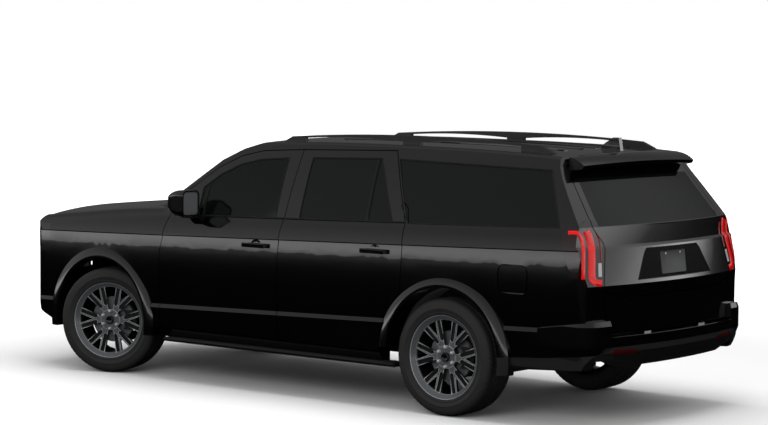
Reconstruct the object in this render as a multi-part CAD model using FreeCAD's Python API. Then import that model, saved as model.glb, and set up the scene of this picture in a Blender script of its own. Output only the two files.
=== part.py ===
"""Family sport utility vehicle with a long wheelbase, built from its body panels, doors,
chassis, running gear and seats.

Frame: +X forward, +Y left, +Z up, origin on the ground under the middle of the vehicle.
All lengths are in millimetres.
"""
import FreeCAD, Part
import math
import os

V = FreeCAD.Vector

# Overall sizes
length = 5628.0
half_width = 1014.5
wheelbase = 3343.0
rear_overhang = 1305.0
front_x = length / 2
rear_x = -length / 2
rear_axle_x = rear_x + rear_overhang
front_axle_x = rear_axle_x + wheelbase

# Fits and clearances
seat_gap = 0.3
shut_gap = 6.5
split_gap = 8.0
bearing_gap = 0.3
overrun = 60.0

# Wheels and steering
tyre_radius = 407.6
tyre_width = 285.0
tyre_shoulder = 34.0
tyre_bulge = 9.0
tyre_wall_drop = 66.0
rim_radius = 290.0
rim_well = 24.0
rim_wall = 9.0
rim_lip_y = 983.0
rim_width = 250.0
rim_face_depth = 34.0
hub_radius = 80.0
hub_length = 92.0
hub_bore = 36.0
lug_count = 6
lug_pitch_radius = 67.5
lug_radius = 11.0
lug_height = 14.0
cap_radius = 33.0
cap_height = 12.0
spoke_count = 6
spoke_width = 47.0
spoke_thickness = 30.0
spoke_spread_deg = 14.0
spoke_crotch_radius = 154.0
spoke_rim = 7.0
spoke_pocket = 13.0
spoke_dish = 8.0
wheel_y = 854.0
kingpin_y = 818.0
steer_rest_deg = 19.0
disc_radius = 176.0
disc_thickness = 30.0
disc_y = 878.0
caliper_length = 150.0
caliper_width = 80.0
spindle_length = 120.0
knuckle_radius = 60.0
knuckle_half_height = 130.0
knuckle_thickness = 70.0

# Side lines of the body
crease_z_front = 1072.0
crease_x_front = 2188.0
crease_slope = 0.0252
belt_rise = 152.0
ledge_z_front = 554.0
ledge_x_front = 1085.0
ledge_slope = 0.0268
ledge_height = 28.0
ledge_depth = 13.0
crease_step = 9.0
crease_step_height = 8.0
sill_bottom_z = 330.0
sill_tuck = 62.0
sill_turn = 15.0
sill_rise = 74.0
body_half_width = 1003.0
belt_inset = 43.0
belt_bulge = 10.0
face_bulge = 7.0
face_tuck = 4.0
shoulder_inset = 155.0
shoulder_bulge = 12.0
cowl_z = 1338.0

# Greenhouse
roof_edge_z = 1821.0
roof_edge_y = 764.0
roof_crown = 38.0
roof_round = 46.0
roof_round_rise = 17.0
side_glass_bulge = 13.0
greenhouse_root = 60.0

# Wall thicknesses
door_thickness = 128.0
frame_thickness = 52.0
flange_thickness = 20.0
pillar_depth = 30.0
roof_thickness = 34.0
glass_thickness = 5.0
glass_inset = 4.0
panel_thickness = 26.0
fender_thickness = 44.0
front_wall = 90.0
rear_wall = 92.0
floor_z = 460.0
floor_thickness = 24.0
rear_floor_z = 620.0
floor_step_x = -1150.0
sill_inner_y = 858.0

# Wheel arches
arch_radius = 483.0
flare_radius = 562.0
flare_depth = 90.0
liner_thickness = 10.0
liner_inner_y = 600.0

# Front and rear curvature in plan
front_plan_radius = 2700.0
rear_plan_radius = 3900.0
front_corner_radius = 250.0
rear_corner_radius = 190.0
front_end_y = 955.0
rear_end_y = 962.0

# Shut lines
door_taper_deg = 14.0
door_bottom_z = 405.0
door_land = 46.0
frame_land = 16.0
door_hinge_depth = 6.0
door_hinge_back = 12.0
near_straight = 0.35

# Stations along the body: place as a share of half the length, then side width, belt rise,
# deck edge rise and deck height as shares of their driving sizes
station_shares = (
    (1.03, 0.925, 0.45, 0.69, 0.905),
    (0.84, 0.957, 0.71, 0.91, 0.943),
    (0.652, 0.985, 0.86, 1.19, 0.974),
    (0.40, 0.998, 0.99, 1.35, 1.0),
    (0.0, 1.0, 1.0, 1.35, 1.0),
    (-0.40, 0.999, 1.0, 1.35, 1.0),
    (-0.60, 0.993, 1.0, 1.35, 1.0),
    (-0.83, 0.972, 1.0, 1.35, 1.0),
    (-1.03, 0.935, 1.0, 1.35, 1.0),
)
# Roof stations: place as a share of half the length, then edge height and edge width shares
roof_shares = (
    (0.55, 0.975, 1.0),
    (0.125, 0.990, 1.0),
    (0.0, 0.997, 1.0),
    (-0.33, 1.0, 1.0),
    (-0.64, 0.993, 0.995),
    (-0.82, 0.979, 0.972),
    (-1.0, 0.955, 0.925),
)


def lerp_table(table, share, column):
    """Value of one column of a station table between its rows."""
    rows = sorted(table)
    if share <= rows[0][0]:
        return rows[0][column]
    for low, high in zip(rows, rows[1:]):
        if share <= high[0]:
            part = (share - low[0]) / (high[0] - low[0])
            return low[column] + part * (high[column] - low[column])
    return rows[-1][column]


def crease_z(x):
    return crease_z_front + (crease_x_front - x) * crease_slope


def ledge_z(x):
    return ledge_z_front + (ledge_x_front - x) * ledge_slope


def side_y(x):
    """Half width of the body side at a place along the vehicle."""
    return body_half_width * lerp_table(station_shares, x / front_x, 1)


def belt_z(x):
    return crease_z(x) + belt_rise


def belt_y(x):
    return side_y(x) - belt_inset


def edge_z(x):
    return roof_edge_z * lerp_table(roof_shares, x / front_x, 1)


def edge_y(x):
    return roof_edge_y * lerp_table(roof_shares, x / front_x, 2)


def glass_y(x, z):
    """Half width of the greenhouse side at a height."""
    part = (z - belt_z(x)) / (edge_z(x) - belt_z(x))
    return belt_y(x) + part * (edge_y(x) - belt_y(x)) + side_glass_bulge * 4 * part * (1 - part)


def skin_y(x, z):
    """Half width of the outer skin at a height, without the small steps."""
    if z > belt_z(x):
        return glass_y(x, z)
    if z > crease_z(x):
        part = (z - crease_z(x)) / belt_rise
        return (side_y(x) + crease_step - part * (belt_inset + crease_step)
                + belt_bulge * 4 * part * (1 - part))
    return side_y(x)


def line(a, b):
    return Part.LineSegment(a, b).toShape()


def arc(a, m, b):
    return Part.Arc(a, m, b).toShape()


def half_arc(side, crown):
    """Left half of the crowned arc that runs from one side to the other."""
    whole = Part.Arc(side, crown, V(side.x, -side.y, side.z))
    quarter = whole.FirstParameter + (whole.LastParameter - whole.FirstParameter) / 4
    return arc(side, whole.value(quarter), crown)


def polygon(points):
    return Part.makePolygon(points + [points[0]])


def prism_xz(points, y_low, y_high):
    """Prism along Y with an outline of (x, z) points."""
    face = Part.Face(polygon([V(x, y_low, z) for x, z in points]))
    return face.extrude(V(0, y_high - y_low, 0))


def prism_yz(points, x_low, x_high):
    face = Part.Face(polygon([V(x_low, y, z) for y, z in points]))
    return face.extrude(V(x_high - x_low, 0, 0))


def prism_xy(points, z_low, z_high):
    face = Part.Face(polygon([V(x, y, z_low) for x, y in points]))
    return face.extrude(V(0, 0, z_high - z_low))


def block(x_low, x_high, y_low, y_high, z_low, z_high):
    return Part.makeBox(x_high - x_low, y_high - y_low, z_high - z_low, V(x_low, y_low, z_low))


def rod_y(x, z, radius, y_low, y_high):
    return Part.makeCylinder(radius, y_high - y_low, V(x, y_low, z), V(0, 1, 0))


def rod_z(x, y, radius, z_low, z_high):
    return Part.makeCylinder(radius, z_high - z_low, V(x, y, z_low), V(0, 0, 1))


def rod_between(a, b, radius):
    return Part.makeCylinder(radius, (b - a).Length, a, b - a)


def mirrored(shape):
    """Right-hand copy of a left-hand shape."""
    return shape.mirror(V(0, 0, 0), V(0, 1, 0))


def both(shape):
    return [shape, mirrored(shape)]


def biggest(shape):
    return max(shape.Solids, key=lambda solid: solid.Volume)


def save(node, shapes):
    """Write one node's solids as a STEP file."""
    solids = [solid for shape in shapes for solid in shape.Solids]
    whole = solids[0] if len(solids) == 1 else Part.makeCompound(solids)
    whole.exportStep("parts/" + node + ".step")


# Body shape

def lower_section(row, inset):
    """Closed section of the body below the glass at one station."""
    x = row[0] * front_x
    w = body_half_width * row[1] - inset
    zc = crease_z(x)
    zl = ledge_z(x)
    low = sill_bottom_z + inset
    belt = V(x, w - belt_inset, zc + belt_rise * row[2] - inset)
    deck = V(x, w - shoulder_inset, zc + belt_rise * row[3] - inset)
    crown = V(x, 0, cowl_z * row[4] - inset)
    sill = V(x, w - sill_tuck, low)
    turn = V(x, w - sill_turn, low + sill_rise)
    ledge = V(x, w, zl)
    ledge_top = V(x, w - ledge_depth, zl + ledge_height)
    face = V(x, w + face_bulge - face_tuck, (zl + zc) / 2)
    crease = V(x, w - face_tuck, zc)
    step = V(x, w - face_tuck + crease_step, zc + crease_step_height)
    shoulder = (step + belt) / 2 + V(0, belt_bulge, 0)
    bend = (belt + deck) / 2 + V(0, 0, shoulder_bulge)
    half = [(sill, None, turn), (turn, None, ledge), (ledge, None, ledge_top),
            (ledge_top, face, crease), (crease, None, step), (step, shoulder, belt),
            (belt, bend, deck)]
    edges = [line(V(x, 0, low), sill)]
    for a, m, b in half:
        edges.append(line(a, b) if m is None else arc(a, m, b))
    return Part.Wire(edges + [half_arc(deck, crown), line(crown, V(x, 0, low))])


def lower_body(inset):
    return Part.makeLoft([lower_section(row, inset) for row in station_shares], True, False)


def green_section(row, inset):
    """Closed section of the glass house at one station."""
    x = row[0] * front_x
    root_z = belt_z(x) - greenhouse_root
    root = V(x, belt_y(x) - inset, root_z)
    belt = V(x, belt_y(x) - inset, belt_z(x))
    edge = V(x, roof_edge_y * row[2] - inset, roof_edge_z * row[1] - inset * 0.5)
    side = (belt + edge) / 2 + V(0, side_glass_bulge, 0)
    round_mid = edge + V(0, -roof_round * 0.4, roof_round_rise * 0.72)
    roof = edge + V(0, -roof_round, roof_round_rise)
    crown = V(x, 0, roof_edge_z * row[1] + roof_crown - inset)
    foot = V(x, 0, root_z)
    return Part.Wire([
        line(foot, root), line(root, belt), arc(belt, side, edge),
        arc(edge, round_mid, roof), half_arc(roof, crown), line(crown, foot)])


def greenhouse(inset):
    return Part.makeLoft([green_section(row, inset) for row in roof_shares], True, False)


def curved_ends(points):
    """Body long section whose ends bow in plan: (x, z) points closed round the vehicle."""
    wires = []
    for y_share in (-1.0, -0.5, 0.0, 0.5, 1.0):
        y = y_share * (half_width + overrun)
        sag_front = y * y / (2 * front_plan_radius)
        sag_rear = y * y / (2 * rear_plan_radius)
        wires.append(polygon([V(x - sag_front if x > 0 else x + sag_rear, y, z)
                              for x, z in points]))
    return Part.makeLoft(wires, True, False)


def plan_rounding():
    """Plan of the body with bowed sides and ends and its four rounded corners."""
    front_sag = front_end_y ** 2 / (2 * front_plan_radius)
    rear_sag = rear_end_y ** 2 / (2 * rear_plan_radius)
    fl = V(front_x - front_sag, front_end_y, 0)
    rl = V(rear_x + rear_sag, rear_end_y, 0)
    fr = V(fl.x, -fl.y, 0)
    rr = V(rl.x, -rl.y, 0)
    edges = [arc(rl, V(0, half_width + overrun, 0), fl), arc(fl, V(front_x, 0, 0), fr),
             arc(fr, V(0, -half_width - overrun, 0), rr), arc(rr, V(rear_x, 0, 0), rl)]
    solid = Part.Face(Part.Wire(edges)).extrude(V(0, 0, 2 * roof_edge_z))
    upright = [e for e in solid.Edges if e.BoundBox.XLength + e.BoundBox.YLength < 1e-6]
    front_edges = [e for e in upright if e.BoundBox.XMin > 0]
    rear_edges = [e for e in upright if e.BoundBox.XMin < 0]
    solid = solid.makeFillet(front_corner_radius, front_edges)
    rear_edges = [e for e in solid.Edges if e.BoundBox.XLength + e.BoundBox.YLength < 1e-6
                  and abs(abs(e.BoundBox.YMin) - rear_end_y) < 1e-3 and e.BoundBox.XMin < 0]
    return solid.makeFillet(rear_corner_radius, rear_edges)


# Outline of the lower body from the side, front then rear
bonnet_front = (2700.0, 1222.0)
front_profile = [(2560.0, 330.0), (2740.0, 425.0), (2800.0, 560.0), (2814.0, 760.0),
                 (2800.0, 1000.0), (2775.0, 1130.0), bonnet_front]
rear_profile = [(-2689.0, 1348.0), (-2706.0, 1222.0), (-2722.0, 1205.0), (-2774.0, 964.0),
                (-2768.0, 885.0), (-2765.0, 634.0), (-2814.0, 624.0), (-2806.0, 520.0),
                (-2740.0, 411.0), (-2500.0, 395.0), (-1300.0, 330.0)]
windscreen_profile = [(1430.0, 1282.0), (1203.0, 1440.0), (839.0, 1682.0), (645.0, 1768.0),
                      (416.0, 1832.0), (250.0, 1862.0)]
gate_profile = [(-2330.0, 1890.0), (-2392.0, 1735.0), (-2440.0, 1664.0), (-2689.0, 1348.0)]


def shifted(points, dx):
    return [(x + dx, z) for x, z in points]


top_line = [(2300.0, 1420.0), (-2640.0, 1420.0)]
lower_ends = curved_ends(front_profile + top_line + rear_profile)
green_root_z = 1100.0
green_ends = curved_ends([(1500.0, green_root_z)] + windscreen_profile + gate_profile
                         + [(-2700.0, green_root_z)])
lower_outer = lower_body(0.0).common(lower_ends).common(plan_rounding())
green_outer = greenhouse(0.0).common(green_ends)
skin = lower_outer.fuse(green_outer)
green_clear = greenhouse(-seat_gap)
lower_clear = lower_body(-seat_gap)

# Cabin hollow: doors are as thick as their lower boxes, frames and roof are thin
def cavity_section(row):
    x = row[0] * front_x
    low = V(x, side_y(x) - door_thickness, floor_z)
    high = V(x, side_y(x) - door_thickness, belt_z(x) - greenhouse_root)
    belt = V(x, belt_y(x) - frame_thickness, belt_z(x))
    edge = V(x, roof_edge_y * row[2] - frame_thickness, roof_edge_z * row[1] - frame_thickness / 2)
    crown = V(x, 0, roof_edge_z * row[1] + roof_crown - roof_thickness)
    foot = V(x, 0, floor_z)
    return Part.Wire([line(foot, low), line(low, high), line(high, belt), line(belt, edge),
                      half_arc(edge, crown), line(crown, foot)])


firewall_x = 1330.0
screen_wall = 40.0
cavity_long = Part.makeLoft([cavity_section(row) for row in roof_shares], True, False)
cavity_points = ([(firewall_x, floor_z - overrun), (firewall_x, 1190.0)]
                 + shifted(windscreen_profile, -screen_wall)
                 + shifted(gate_profile[:3], rear_wall)
                 + shifted(rear_profile[:6], rear_wall) + [(-2660.0, floor_z - overrun)])
cavity = cavity_long.common(curved_ends(cavity_points))


shell = skin.cut(cavity)
side_zone = block(-1290.0, firewall_x, roof_edge_y / 2, half_width + overrun, 0, roof_edge_z)
side_shell = shell.common(side_zone)
inner_skin = lower_body(flange_thickness).fuse(greenhouse(flange_thickness))
pillar_skin = lower_body(pillar_depth).fuse(greenhouse(pillar_depth)).common(side_zone)
outer_layer = side_shell.cut(inner_skin.common(side_zone))


# Openings in the side: outlines of (x, z, tapered, land), the land being the overlap kept
# by the outer flange beyond the inner box along the edge that starts there

def offset_outline(points, distances):
    """Move each edge of a closed (x, z) outline out by its own distance."""
    count = len(points)
    area = sum(points[i - 1][0] * points[i][1] - points[i][0] * points[i - 1][1]
               for i in range(count))
    turn = 1.0 if area > 0 else -1.0
    normals = []
    for i in range(count):
        (ax, az), (bx, bz) = points[i], points[(i + 1) % count]
        size = math.hypot(bx - ax, bz - az)
        normals.append(((bz - az) / size * turn, (ax - bx) / size * turn))
    moved = []
    for i in range(count):
        (px, pz), (qx, qz) = normals[i - 1], normals[i]
        before, after = distances[i - 1], distances[i]
        cross = px * qz - pz * qx
        if abs(cross) < near_straight:
            size = math.hypot(px + qx, pz + qz)
            reach = (before + after) / 2
            moved.append((points[i][0] + (px + qx) / size * reach,
                          points[i][1] + (pz + qz) / size * reach))
        else:
            moved.append((points[i][0] + (before * qz - after * pz) / cross,
                          points[i][1] + (after * px - before * qx) / cross))
    return moved


def side_cutter(outline, grow):
    """Prism through the left side, its rear edges running forward as they go in."""
    y_out = half_width + overrun
    y_in = roof_edge_y - overrun * 3
    slope = math.tan(math.radians(door_taper_deg))
    flat = [(x, z) for x, z, _, _ in outline]
    flat = offset_outline(flat, [grow if grow >= 0 else grow * share
                                 for _, _, _, share in outline])
    wires = []
    for y in (y_out, y_in):
        wires.append(polygon([V(x + taper * (skin_y(x, z) - y) * slope, y, z)
                              for (x, z), (_, _, taper, _) in zip(flat, outline)]))
    return Part.makeLoft(wires, True, True)


def split_side(outline):
    """Door solid and the opening that it leaves in the body."""
    outer = side_cutter(outline, 0.0)
    inner = side_cutter(outline, -door_land)
    door = outer_layer.common(outer).fuse(side_shell.common(inner))
    opening = side_cutter(outline, shut_gap).cut(pillar_skin)
    inner_grown = side_cutter([(x, z, taper, (share * door_land - shut_gap) / door_land)
                               for x, z, taper, share in outline], -door_land)
    return biggest(door.removeSplitter()), opening, inner_grown


frame_share = 0.4
front_door_outline = [
    (1200.0, door_bottom_z, 0, 1.0), (1195.0, 987.0, 0, 1.0), (1121.0, 1255.0, 0, frame_share),
    (1085.0, 1372.0, 0, frame_share), (722.0, 1627.0, 0, frame_share),
    (532.0, 1713.0, 0, frame_share), (330.0, 1757.0, 0, frame_share),
    (-57.0, 1777.0, 1, frame_share), (-39.5, 1520.0, 1, frame_share),
    (-22.0, 1264.0, 1, 1.0), (-15.7, 1205.0, 1, 1.0),
    (-9.3, 1145.0, 1, 1.0), (4.0, 1020.0, 1, 1.0), (10.0, 875.0, 1, 1.0),
    (12.0, door_bottom_z, 1, 1.3)]
arch_clear = flare_radius + shut_gap
rear_door_outline = [
    (12.0 - shut_gap, door_bottom_z, 0, 1.0), (10.0 - shut_gap, 875.0, 0, 1.0),
    (4.0 - shut_gap, 1020.0, 0, 1.0), (-9.3 - shut_gap, 1145.0, 0, 1.0),
    (-15.7 - shut_gap, 1205.0, 0, 1.0), (-22.0 - shut_gap, 1264.0, 0, frame_share),
    (-39.5 - shut_gap, 1520.0, 0, frame_share),
    (-57.0 - shut_gap, 1777.0, 0, frame_share), (-925.0, 1797.0, 1, frame_share),
    (-1146.0, 1308.0, 1, 1.0), (-1146.0, 1021.0, 1, 1.0), (-1140.0, 972.0, 1, 1.0)]
for step_deg in (49.0, 36.0, 24.0, 12.0, 0.5):
    rear_door_outline.append((
        rear_axle_x + arch_clear * math.cos(math.radians(step_deg)),
        tyre_radius + arch_clear * math.sin(math.radians(step_deg)), 1,
        1.3 if step_deg < 1 else 1.0))
rear_door_outline.append((rear_axle_x + arch_clear, door_bottom_z, 1, 1.3))
del rear_door_outline[-2]

front_window = [(835.0, 1266.0), (835.0, 1471.0), (690.0, 1573.0), (512.0, 1654.0),
                (317.0, 1695.0), (62.0, 1712.0), (62.0, 1283.0)]
rear_window_side = [(-173.0, 1288.0), (-173.0, 1722.0), (-818.0, 1738.0), (-1030.0, 1310.0)]

front_door, front_opening, front_inner = split_side(front_door_outline)
rear_door, rear_opening, rear_inner = split_side(rear_door_outline)
side_rest = side_shell
for piece in (front_opening, front_inner, rear_opening, rear_inner):
    side_rest = side_rest.cut(piece)


def window_pane(outline, parent):
    """Cut a window in a side panel and return the panel and its pane."""
    y_low = roof_edge_y / 2
    y_high = half_width + overrun
    hole = prism_xz(outline, y_low, y_high)
    inner = prism_xz(offset_outline(outline, [-seat_gap] * len(outline)), y_low, y_high)
    pane = glass_layer.common(inner)
    return biggest(parent.cut(hole)), biggest(pane)


glass_layer = greenhouse(glass_inset).cut(greenhouse(glass_inset + glass_thickness))
front_door, front_pane = window_pane(front_window, front_door)
rear_door, rear_pane = window_pane(rear_window_side, rear_door)


# Handles, mirrors and hinge straps

def door_handle(x, z, y):
    """Pull bar on two feet."""
    bar = block(x - handle_length / 2, x + handle_length / 2, y + handle_reach - handle_bar,
                y + handle_reach, z - handle_height / 2, z + handle_height / 2)
    bar = bar.makeFillet(handle_bar / 3, bar.Edges)
    foot = block(-handle_foot / 2, handle_foot / 2, -overrun / 2, handle_reach - handle_bar / 2,
                 -handle_height / 4, handle_height / 4)
    for side in (-1, 1):
        place = V(x + side * (handle_length / 2 - handle_foot), y, z)
        bar = bar.fuse(foot.translated(place))
    return bar


def hinge_straps(outline, x_face, heights):
    """Blocks on the pillar that reach the door's inner box at its front edge."""
    grown = side_cutter([(x, z, taper, (share * door_land - seat_gap) / door_land)
                         for x, z, taper, share in outline], -door_land)
    straps = []
    for z in heights:
        y = side_y(x_face)
        strap = block(x_face - strap_length, x_face + strap_length, y - strap_inner,
                      y - strap_outer, z - strap_height / 2, z + strap_height / 2)
        straps.append(strap.cut(grown))
    return straps


handle_length = 214.0
handle_height = 32.0
handle_bar = 16.0
handle_reach = 40.0
handle_foot = 24.0
strap_length = 16.0
strap_inner = 82.0
strap_outer = 36.0
strap_height = 70.0
strap_heights = (560.0, 900.0)
front_handle_x = 213.0
front_handle_z = 1081.0
rear_handle_x = -910.0
rear_handle_z = 1105.0

front_door = front_door.fuse(door_handle(front_handle_x, front_handle_z, side_y(0)))
rear_door = rear_door.fuse(door_handle(rear_handle_x, rear_handle_z, side_y(0)))
front_hinge_x = 1200.0 - door_hinge_back
rear_hinge_x = 12.0 - shut_gap - door_hinge_back
front_straps = hinge_straps(front_door_outline, 1200.0 - door_land, strap_heights)
rear_straps = hinge_straps(rear_door_outline, 12.0 - shut_gap - door_land, strap_heights)

mirror_glass_x = 772.0
mirror_waist_x = 850.0
mirror_nose_x = 958.0
mirror_in_y = 1012.0
mirror_out_y = 1188.0
mirror_low_z = 1268.0
mirror_height = 192.0
mirror_round = 40.0
mirror_arm = 58.0
mirror_nose_share = 0.62
mirror_sink = 10.0
mirror_rim = 9.0


def rounded_frame(x, y_low, y_high, z_low, z_high, radius):
    """Rectangle with round corners across the vehicle."""
    cut = radius * (1 - math.sqrt(0.5))
    wire = []
    spots = [(y_low, z_low, 1, 1), (y_high, z_low, -1, 1), (y_high, z_high, -1, -1),
             (y_low, z_high, 1, -1)]
    corners = []
    for y, z, sy, sz in spots:
        ends = [V(x, y, z + sz * radius), V(x, y + sy * radius, z)]
        if sy != sz:
            ends.reverse()
        corners.append((ends[0], V(x, y + sy * cut, z + sz * cut), ends[1]))
    for i in range(4):
        a, m, b = corners[i]
        wire.append(arc(a, m, b))
        wire.append(line(b, corners[(i + 1) % 4][0]))
    return Part.Wire(wire)


def mirror_housing():
    """Shell of the left mirror: full at the glass, drawn in towards its nose."""
    mid_y = (mirror_in_y + mirror_out_y) / 2
    mid_z = mirror_low_z + mirror_height / 2
    half_y = (mirror_out_y - mirror_in_y) / 2
    half_z = mirror_height / 2
    frames = []
    for x, share in ((mirror_glass_x, 1.0), (mirror_waist_x, 1.0), (mirror_nose_x, mirror_nose_share)):
        frames.append(rounded_frame(x, mid_y - half_y * share, mid_y + half_y * share,
                                    mid_z - half_z * share, mid_z + half_z * share,
                                    mirror_round * share))
    solid = Part.makeLoft(frames, True, False)
    recess = Part.makeLoft([rounded_frame(x, mid_y - half_y + mirror_rim, mid_y + half_y - mirror_rim,
                                          mid_z - half_z + mirror_rim, mid_z + half_z - mirror_rim,
                                          mirror_round - mirror_rim)
                            for x in (mirror_glass_x - overrun, mirror_glass_x + mirror_sink)],
                           True, True)
    return solid.cut(recess)


mirror_x = (mirror_glass_x + mirror_nose_x) / 2
mirror_arm_solid = block(mirror_x - mirror_arm, mirror_x + mirror_arm, belt_y(mirror_x) - overrun,
                         mirror_in_y + mirror_round, mirror_low_z - mirror_arm / 3,
                         mirror_low_z + mirror_arm)
mirror_solid = mirror_housing().fuse(mirror_arm_solid)
mirror_solid = biggest(mirror_solid.cut(green_clear).cut(lower_clear))

# Front end: wings, bonnet, cowl, bumper, grille and lamps
wing_rear_x = 1200.0 + shut_gap
wing_front_x = 2396.0
bay_front_x = front_x - 190.0
inner_lower = lower_body(fender_thickness)
front_hollow = inner_lower.common(curved_ends(
    [(firewall_x + overrun, 0.0)] + shifted(front_profile[1:], -front_wall)
    + [(front_x - front_wall * 3, 2 * cowl_z), (firewall_x + overrun, 2 * cowl_z)]))
bonnet_rear_x = 1472.0
bonnet_half = 792.0
bonnet_front_half = 762.0
bonnet_nose_x = 2690.0


def bonnet_outline(grow):
    """Left half of the bonnet in plan."""
    points = [(bonnet_rear_x - grow, 0.0), (bonnet_rear_x - grow, bonnet_half + grow)]
    for share in (1.0, 0.8, 0.6, 0.4, 0.2, 0.0):
        y = (bonnet_front_half + grow) * share
        points.append((bonnet_nose_x + grow - y * y / (2 * front_plan_radius), y))
    return points


bonnet_low_z = 1090.0
bonnet_half_solid = lower_outer.cut(lower_body(panel_thickness)).common(
    prism_xy(bonnet_outline(0.0), bonnet_low_z, 2 * cowl_z))
bonnet_gap_zone = prism_xy(bonnet_outline(shut_gap), bonnet_low_z - shut_gap, 2 * cowl_z)
front_shell = lower_outer.cut(front_hollow).common(
    block(firewall_x, front_x + overrun, 0, half_width + overrun, 0, 2 * cowl_z))
wing_zone = block(wing_rear_x, wing_front_x, bonnet_half - overrun, half_width + overrun,
                  door_bottom_z - 3 * overrun, 2 * cowl_z)
front_arch = rod_y(front_axle_x, tyre_radius, arch_radius, liner_inner_y, half_width + overrun)
rear_arch = rod_y(rear_axle_x, tyre_radius, arch_radius, liner_inner_y, half_width + overrun)


flare_land = 18.0
flare_fade = 9.0
flare_bow = 3.0


def flare(x):
    """Arch lip that stands proud round the wheel opening and fades into the side."""
    lip = V(x + arch_radius + flare_land, half_width, tyre_radius)
    edge = V(x + flare_radius, body_half_width - flare_fade, tyre_radius)
    start = V(x + arch_radius, half_width, tyre_radius)
    root = V(x + arch_radius, half_width - flare_depth, tyre_radius)
    back = V(x + flare_radius, half_width - flare_depth, tyre_radius)
    mid = (lip + edge) / 2 + V(flare_bow, flare_bow, 0)
    face = Part.Face(Part.Wire([line(start, lip), arc(lip, mid, edge), line(edge, back),
                                line(back, root), line(root, start)]))
    ring = face.revolve(V(x, 0, tyre_radius), V(0, 1, 0), 360)
    return ring.cut(block(x - length, x + length, 0, half_width + overrun, 0, sill_bottom_z))


wing = lower_outer.cut(inner_lower).common(wing_zone).cut(front_arch).cut(bonnet_gap_zone)
wing = wing.cut(front_opening).cut(front_inner)
wing = biggest(wing.fuse(flare(front_axle_x).common(wing_zone)))
grille_half = 565.0
grille_low_z = 690.0
grille_high_z = 1105.0
lamp_low_z = 905.0
lamp_high_z = 1125.0
lamp_inner_y = 592.0
nose_zone = block(wing_front_x + seat_gap, front_x + overrun, 0, half_width + overrun, 0,
                  2 * cowl_z)
nose = front_shell.common(nose_zone).cut(bonnet_gap_zone)
grille_zone = block(wing_front_x, front_x + overrun, -overrun, grille_half, grille_low_z,
                    grille_high_z)
lamp_zone = block(wing_front_x + overrun, front_x + overrun, lamp_inner_y,
                  half_width + overrun, lamp_low_z, lamp_high_z)
grille_half_solid = nose.common(grille_zone)
headlamp = biggest(nose.common(lamp_zone))
grille_slot_rows = 6
grille_bar = 22.0
grille_frame = 34.0
grille_post = 26.0
grille_pitch = (grille_high_z - grille_low_z - 2 * grille_frame + grille_bar) / grille_slot_rows
slots = []
for row in range(grille_slot_rows):
    slot_z = grille_low_z + grille_frame + row * grille_pitch
    for slot_in, slot_out in ((grille_post / 2, grille_half / 2 - grille_post / 2),
                              (grille_half / 2 + grille_post / 2, grille_half - grille_frame)):
        slots.append(block(wing_front_x - overrun, front_x + overrun, slot_in, slot_out, slot_z,
                           slot_z + grille_pitch - grille_bar))
grille_half_solid = biggest(grille_half_solid).cut(Part.makeCompound(slots))
bumper_half = nose.cut(block(wing_front_x, front_x + overrun, -overrun, grille_half + seat_gap,
                             grille_low_z - seat_gap, grille_high_z + seat_gap))
bumper_half = bumper_half.cut(block(wing_front_x + overrun - seat_gap, front_x + overrun,
                                    lamp_inner_y - seat_gap, half_width + overrun,
                                    lamp_low_z - seat_gap, lamp_high_z + seat_gap))
intake_high_y = 470.0
intake_low_y = 400.0
intake_high_z = 610.0
intake_low_z = 470.0
intake_bars = 3
intake_bar = 14.0
intake = prism_yz([(0.0, intake_low_z), (intake_low_y, intake_low_z),
                   (intake_high_y, intake_high_z), (0.0, intake_high_z)],
                  front_x - 4 * front_wall, front_x + overrun)
for bar in range(intake_bars):
    bar_z = intake_low_z + (bar + 1) * (intake_high_z - intake_low_z) / (intake_bars + 1)
    intake = intake.cut(block(front_x - 4 * front_wall, front_x + overrun, -overrun, half_width,
                              bar_z - intake_bar / 2, bar_z + intake_bar / 2))
bumper_half = biggest(bumper_half.cut(intake))
cowl_half = lower_outer.cut(inner_lower).common(
    block(firewall_x + floor_thickness, bonnet_rear_x - shut_gap, 0, bonnet_half - overrun
          - seat_gap, cowl_z / 2, 2 * cowl_z))
bonnet_strap_y = 640.0
bonnet_strap_width = 60.0
bonnet_strap_length = 70.0
bonnet_strap_thickness = 12.0
bonnet_strap = lower_body(panel_thickness + seat_gap).cut(
    lower_body(panel_thickness + seat_gap + bonnet_strap_thickness)).common(
    block(bonnet_rear_x - bonnet_strap_length / 2, bonnet_rear_x + bonnet_strap_length,
          bonnet_strap_y, bonnet_strap_y + bonnet_strap_width, cowl_z / 2, 2 * cowl_z))
cowl_half = biggest(cowl_half).fuse(biggest(bonnet_strap))

# Windscreen and roof
screen_low = 1292.0
screen_high = 1786.0
screen_outline = [(0.0, screen_low), (742.0, screen_low), (640.0, screen_high), (0.0, screen_high)]
screen_thickness = 7.0
green_inner = curved_ends([(1500.0, green_root_z)] + shifted(windscreen_profile, -screen_thickness)
                          + shifted(gate_profile, screen_thickness) + [(-2700.0, green_root_z)])
green_ahead = green_outer.cut(green_inner)
ahead_zone = block(-overrun, front_x, 0, half_width, 0, 2 * roof_edge_z)
screen_prism = prism_yz(screen_outline, 0, front_x)
screen_pane_prism = prism_yz([(0.0, screen_low + seat_gap), (742.0 - seat_gap, screen_low
                              + seat_gap), (640.0 - seat_gap, screen_high - seat_gap),
                              (0.0, screen_high - seat_gap)], 0, front_x)
windscreen_half = biggest(green_ahead.common(ahead_zone).common(screen_pane_prism)
                          .cut(lower_clear))
gate_seam_x = -2330.0
roof_split_z = 1745.0
pillar_foot_z = 500.0
front_pillar = side_rest.common(block(150.0, firewall_x, roof_edge_y / 2, half_width, pillar_foot_z,
                                      roof_split_z)).cut(screen_prism)
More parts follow.
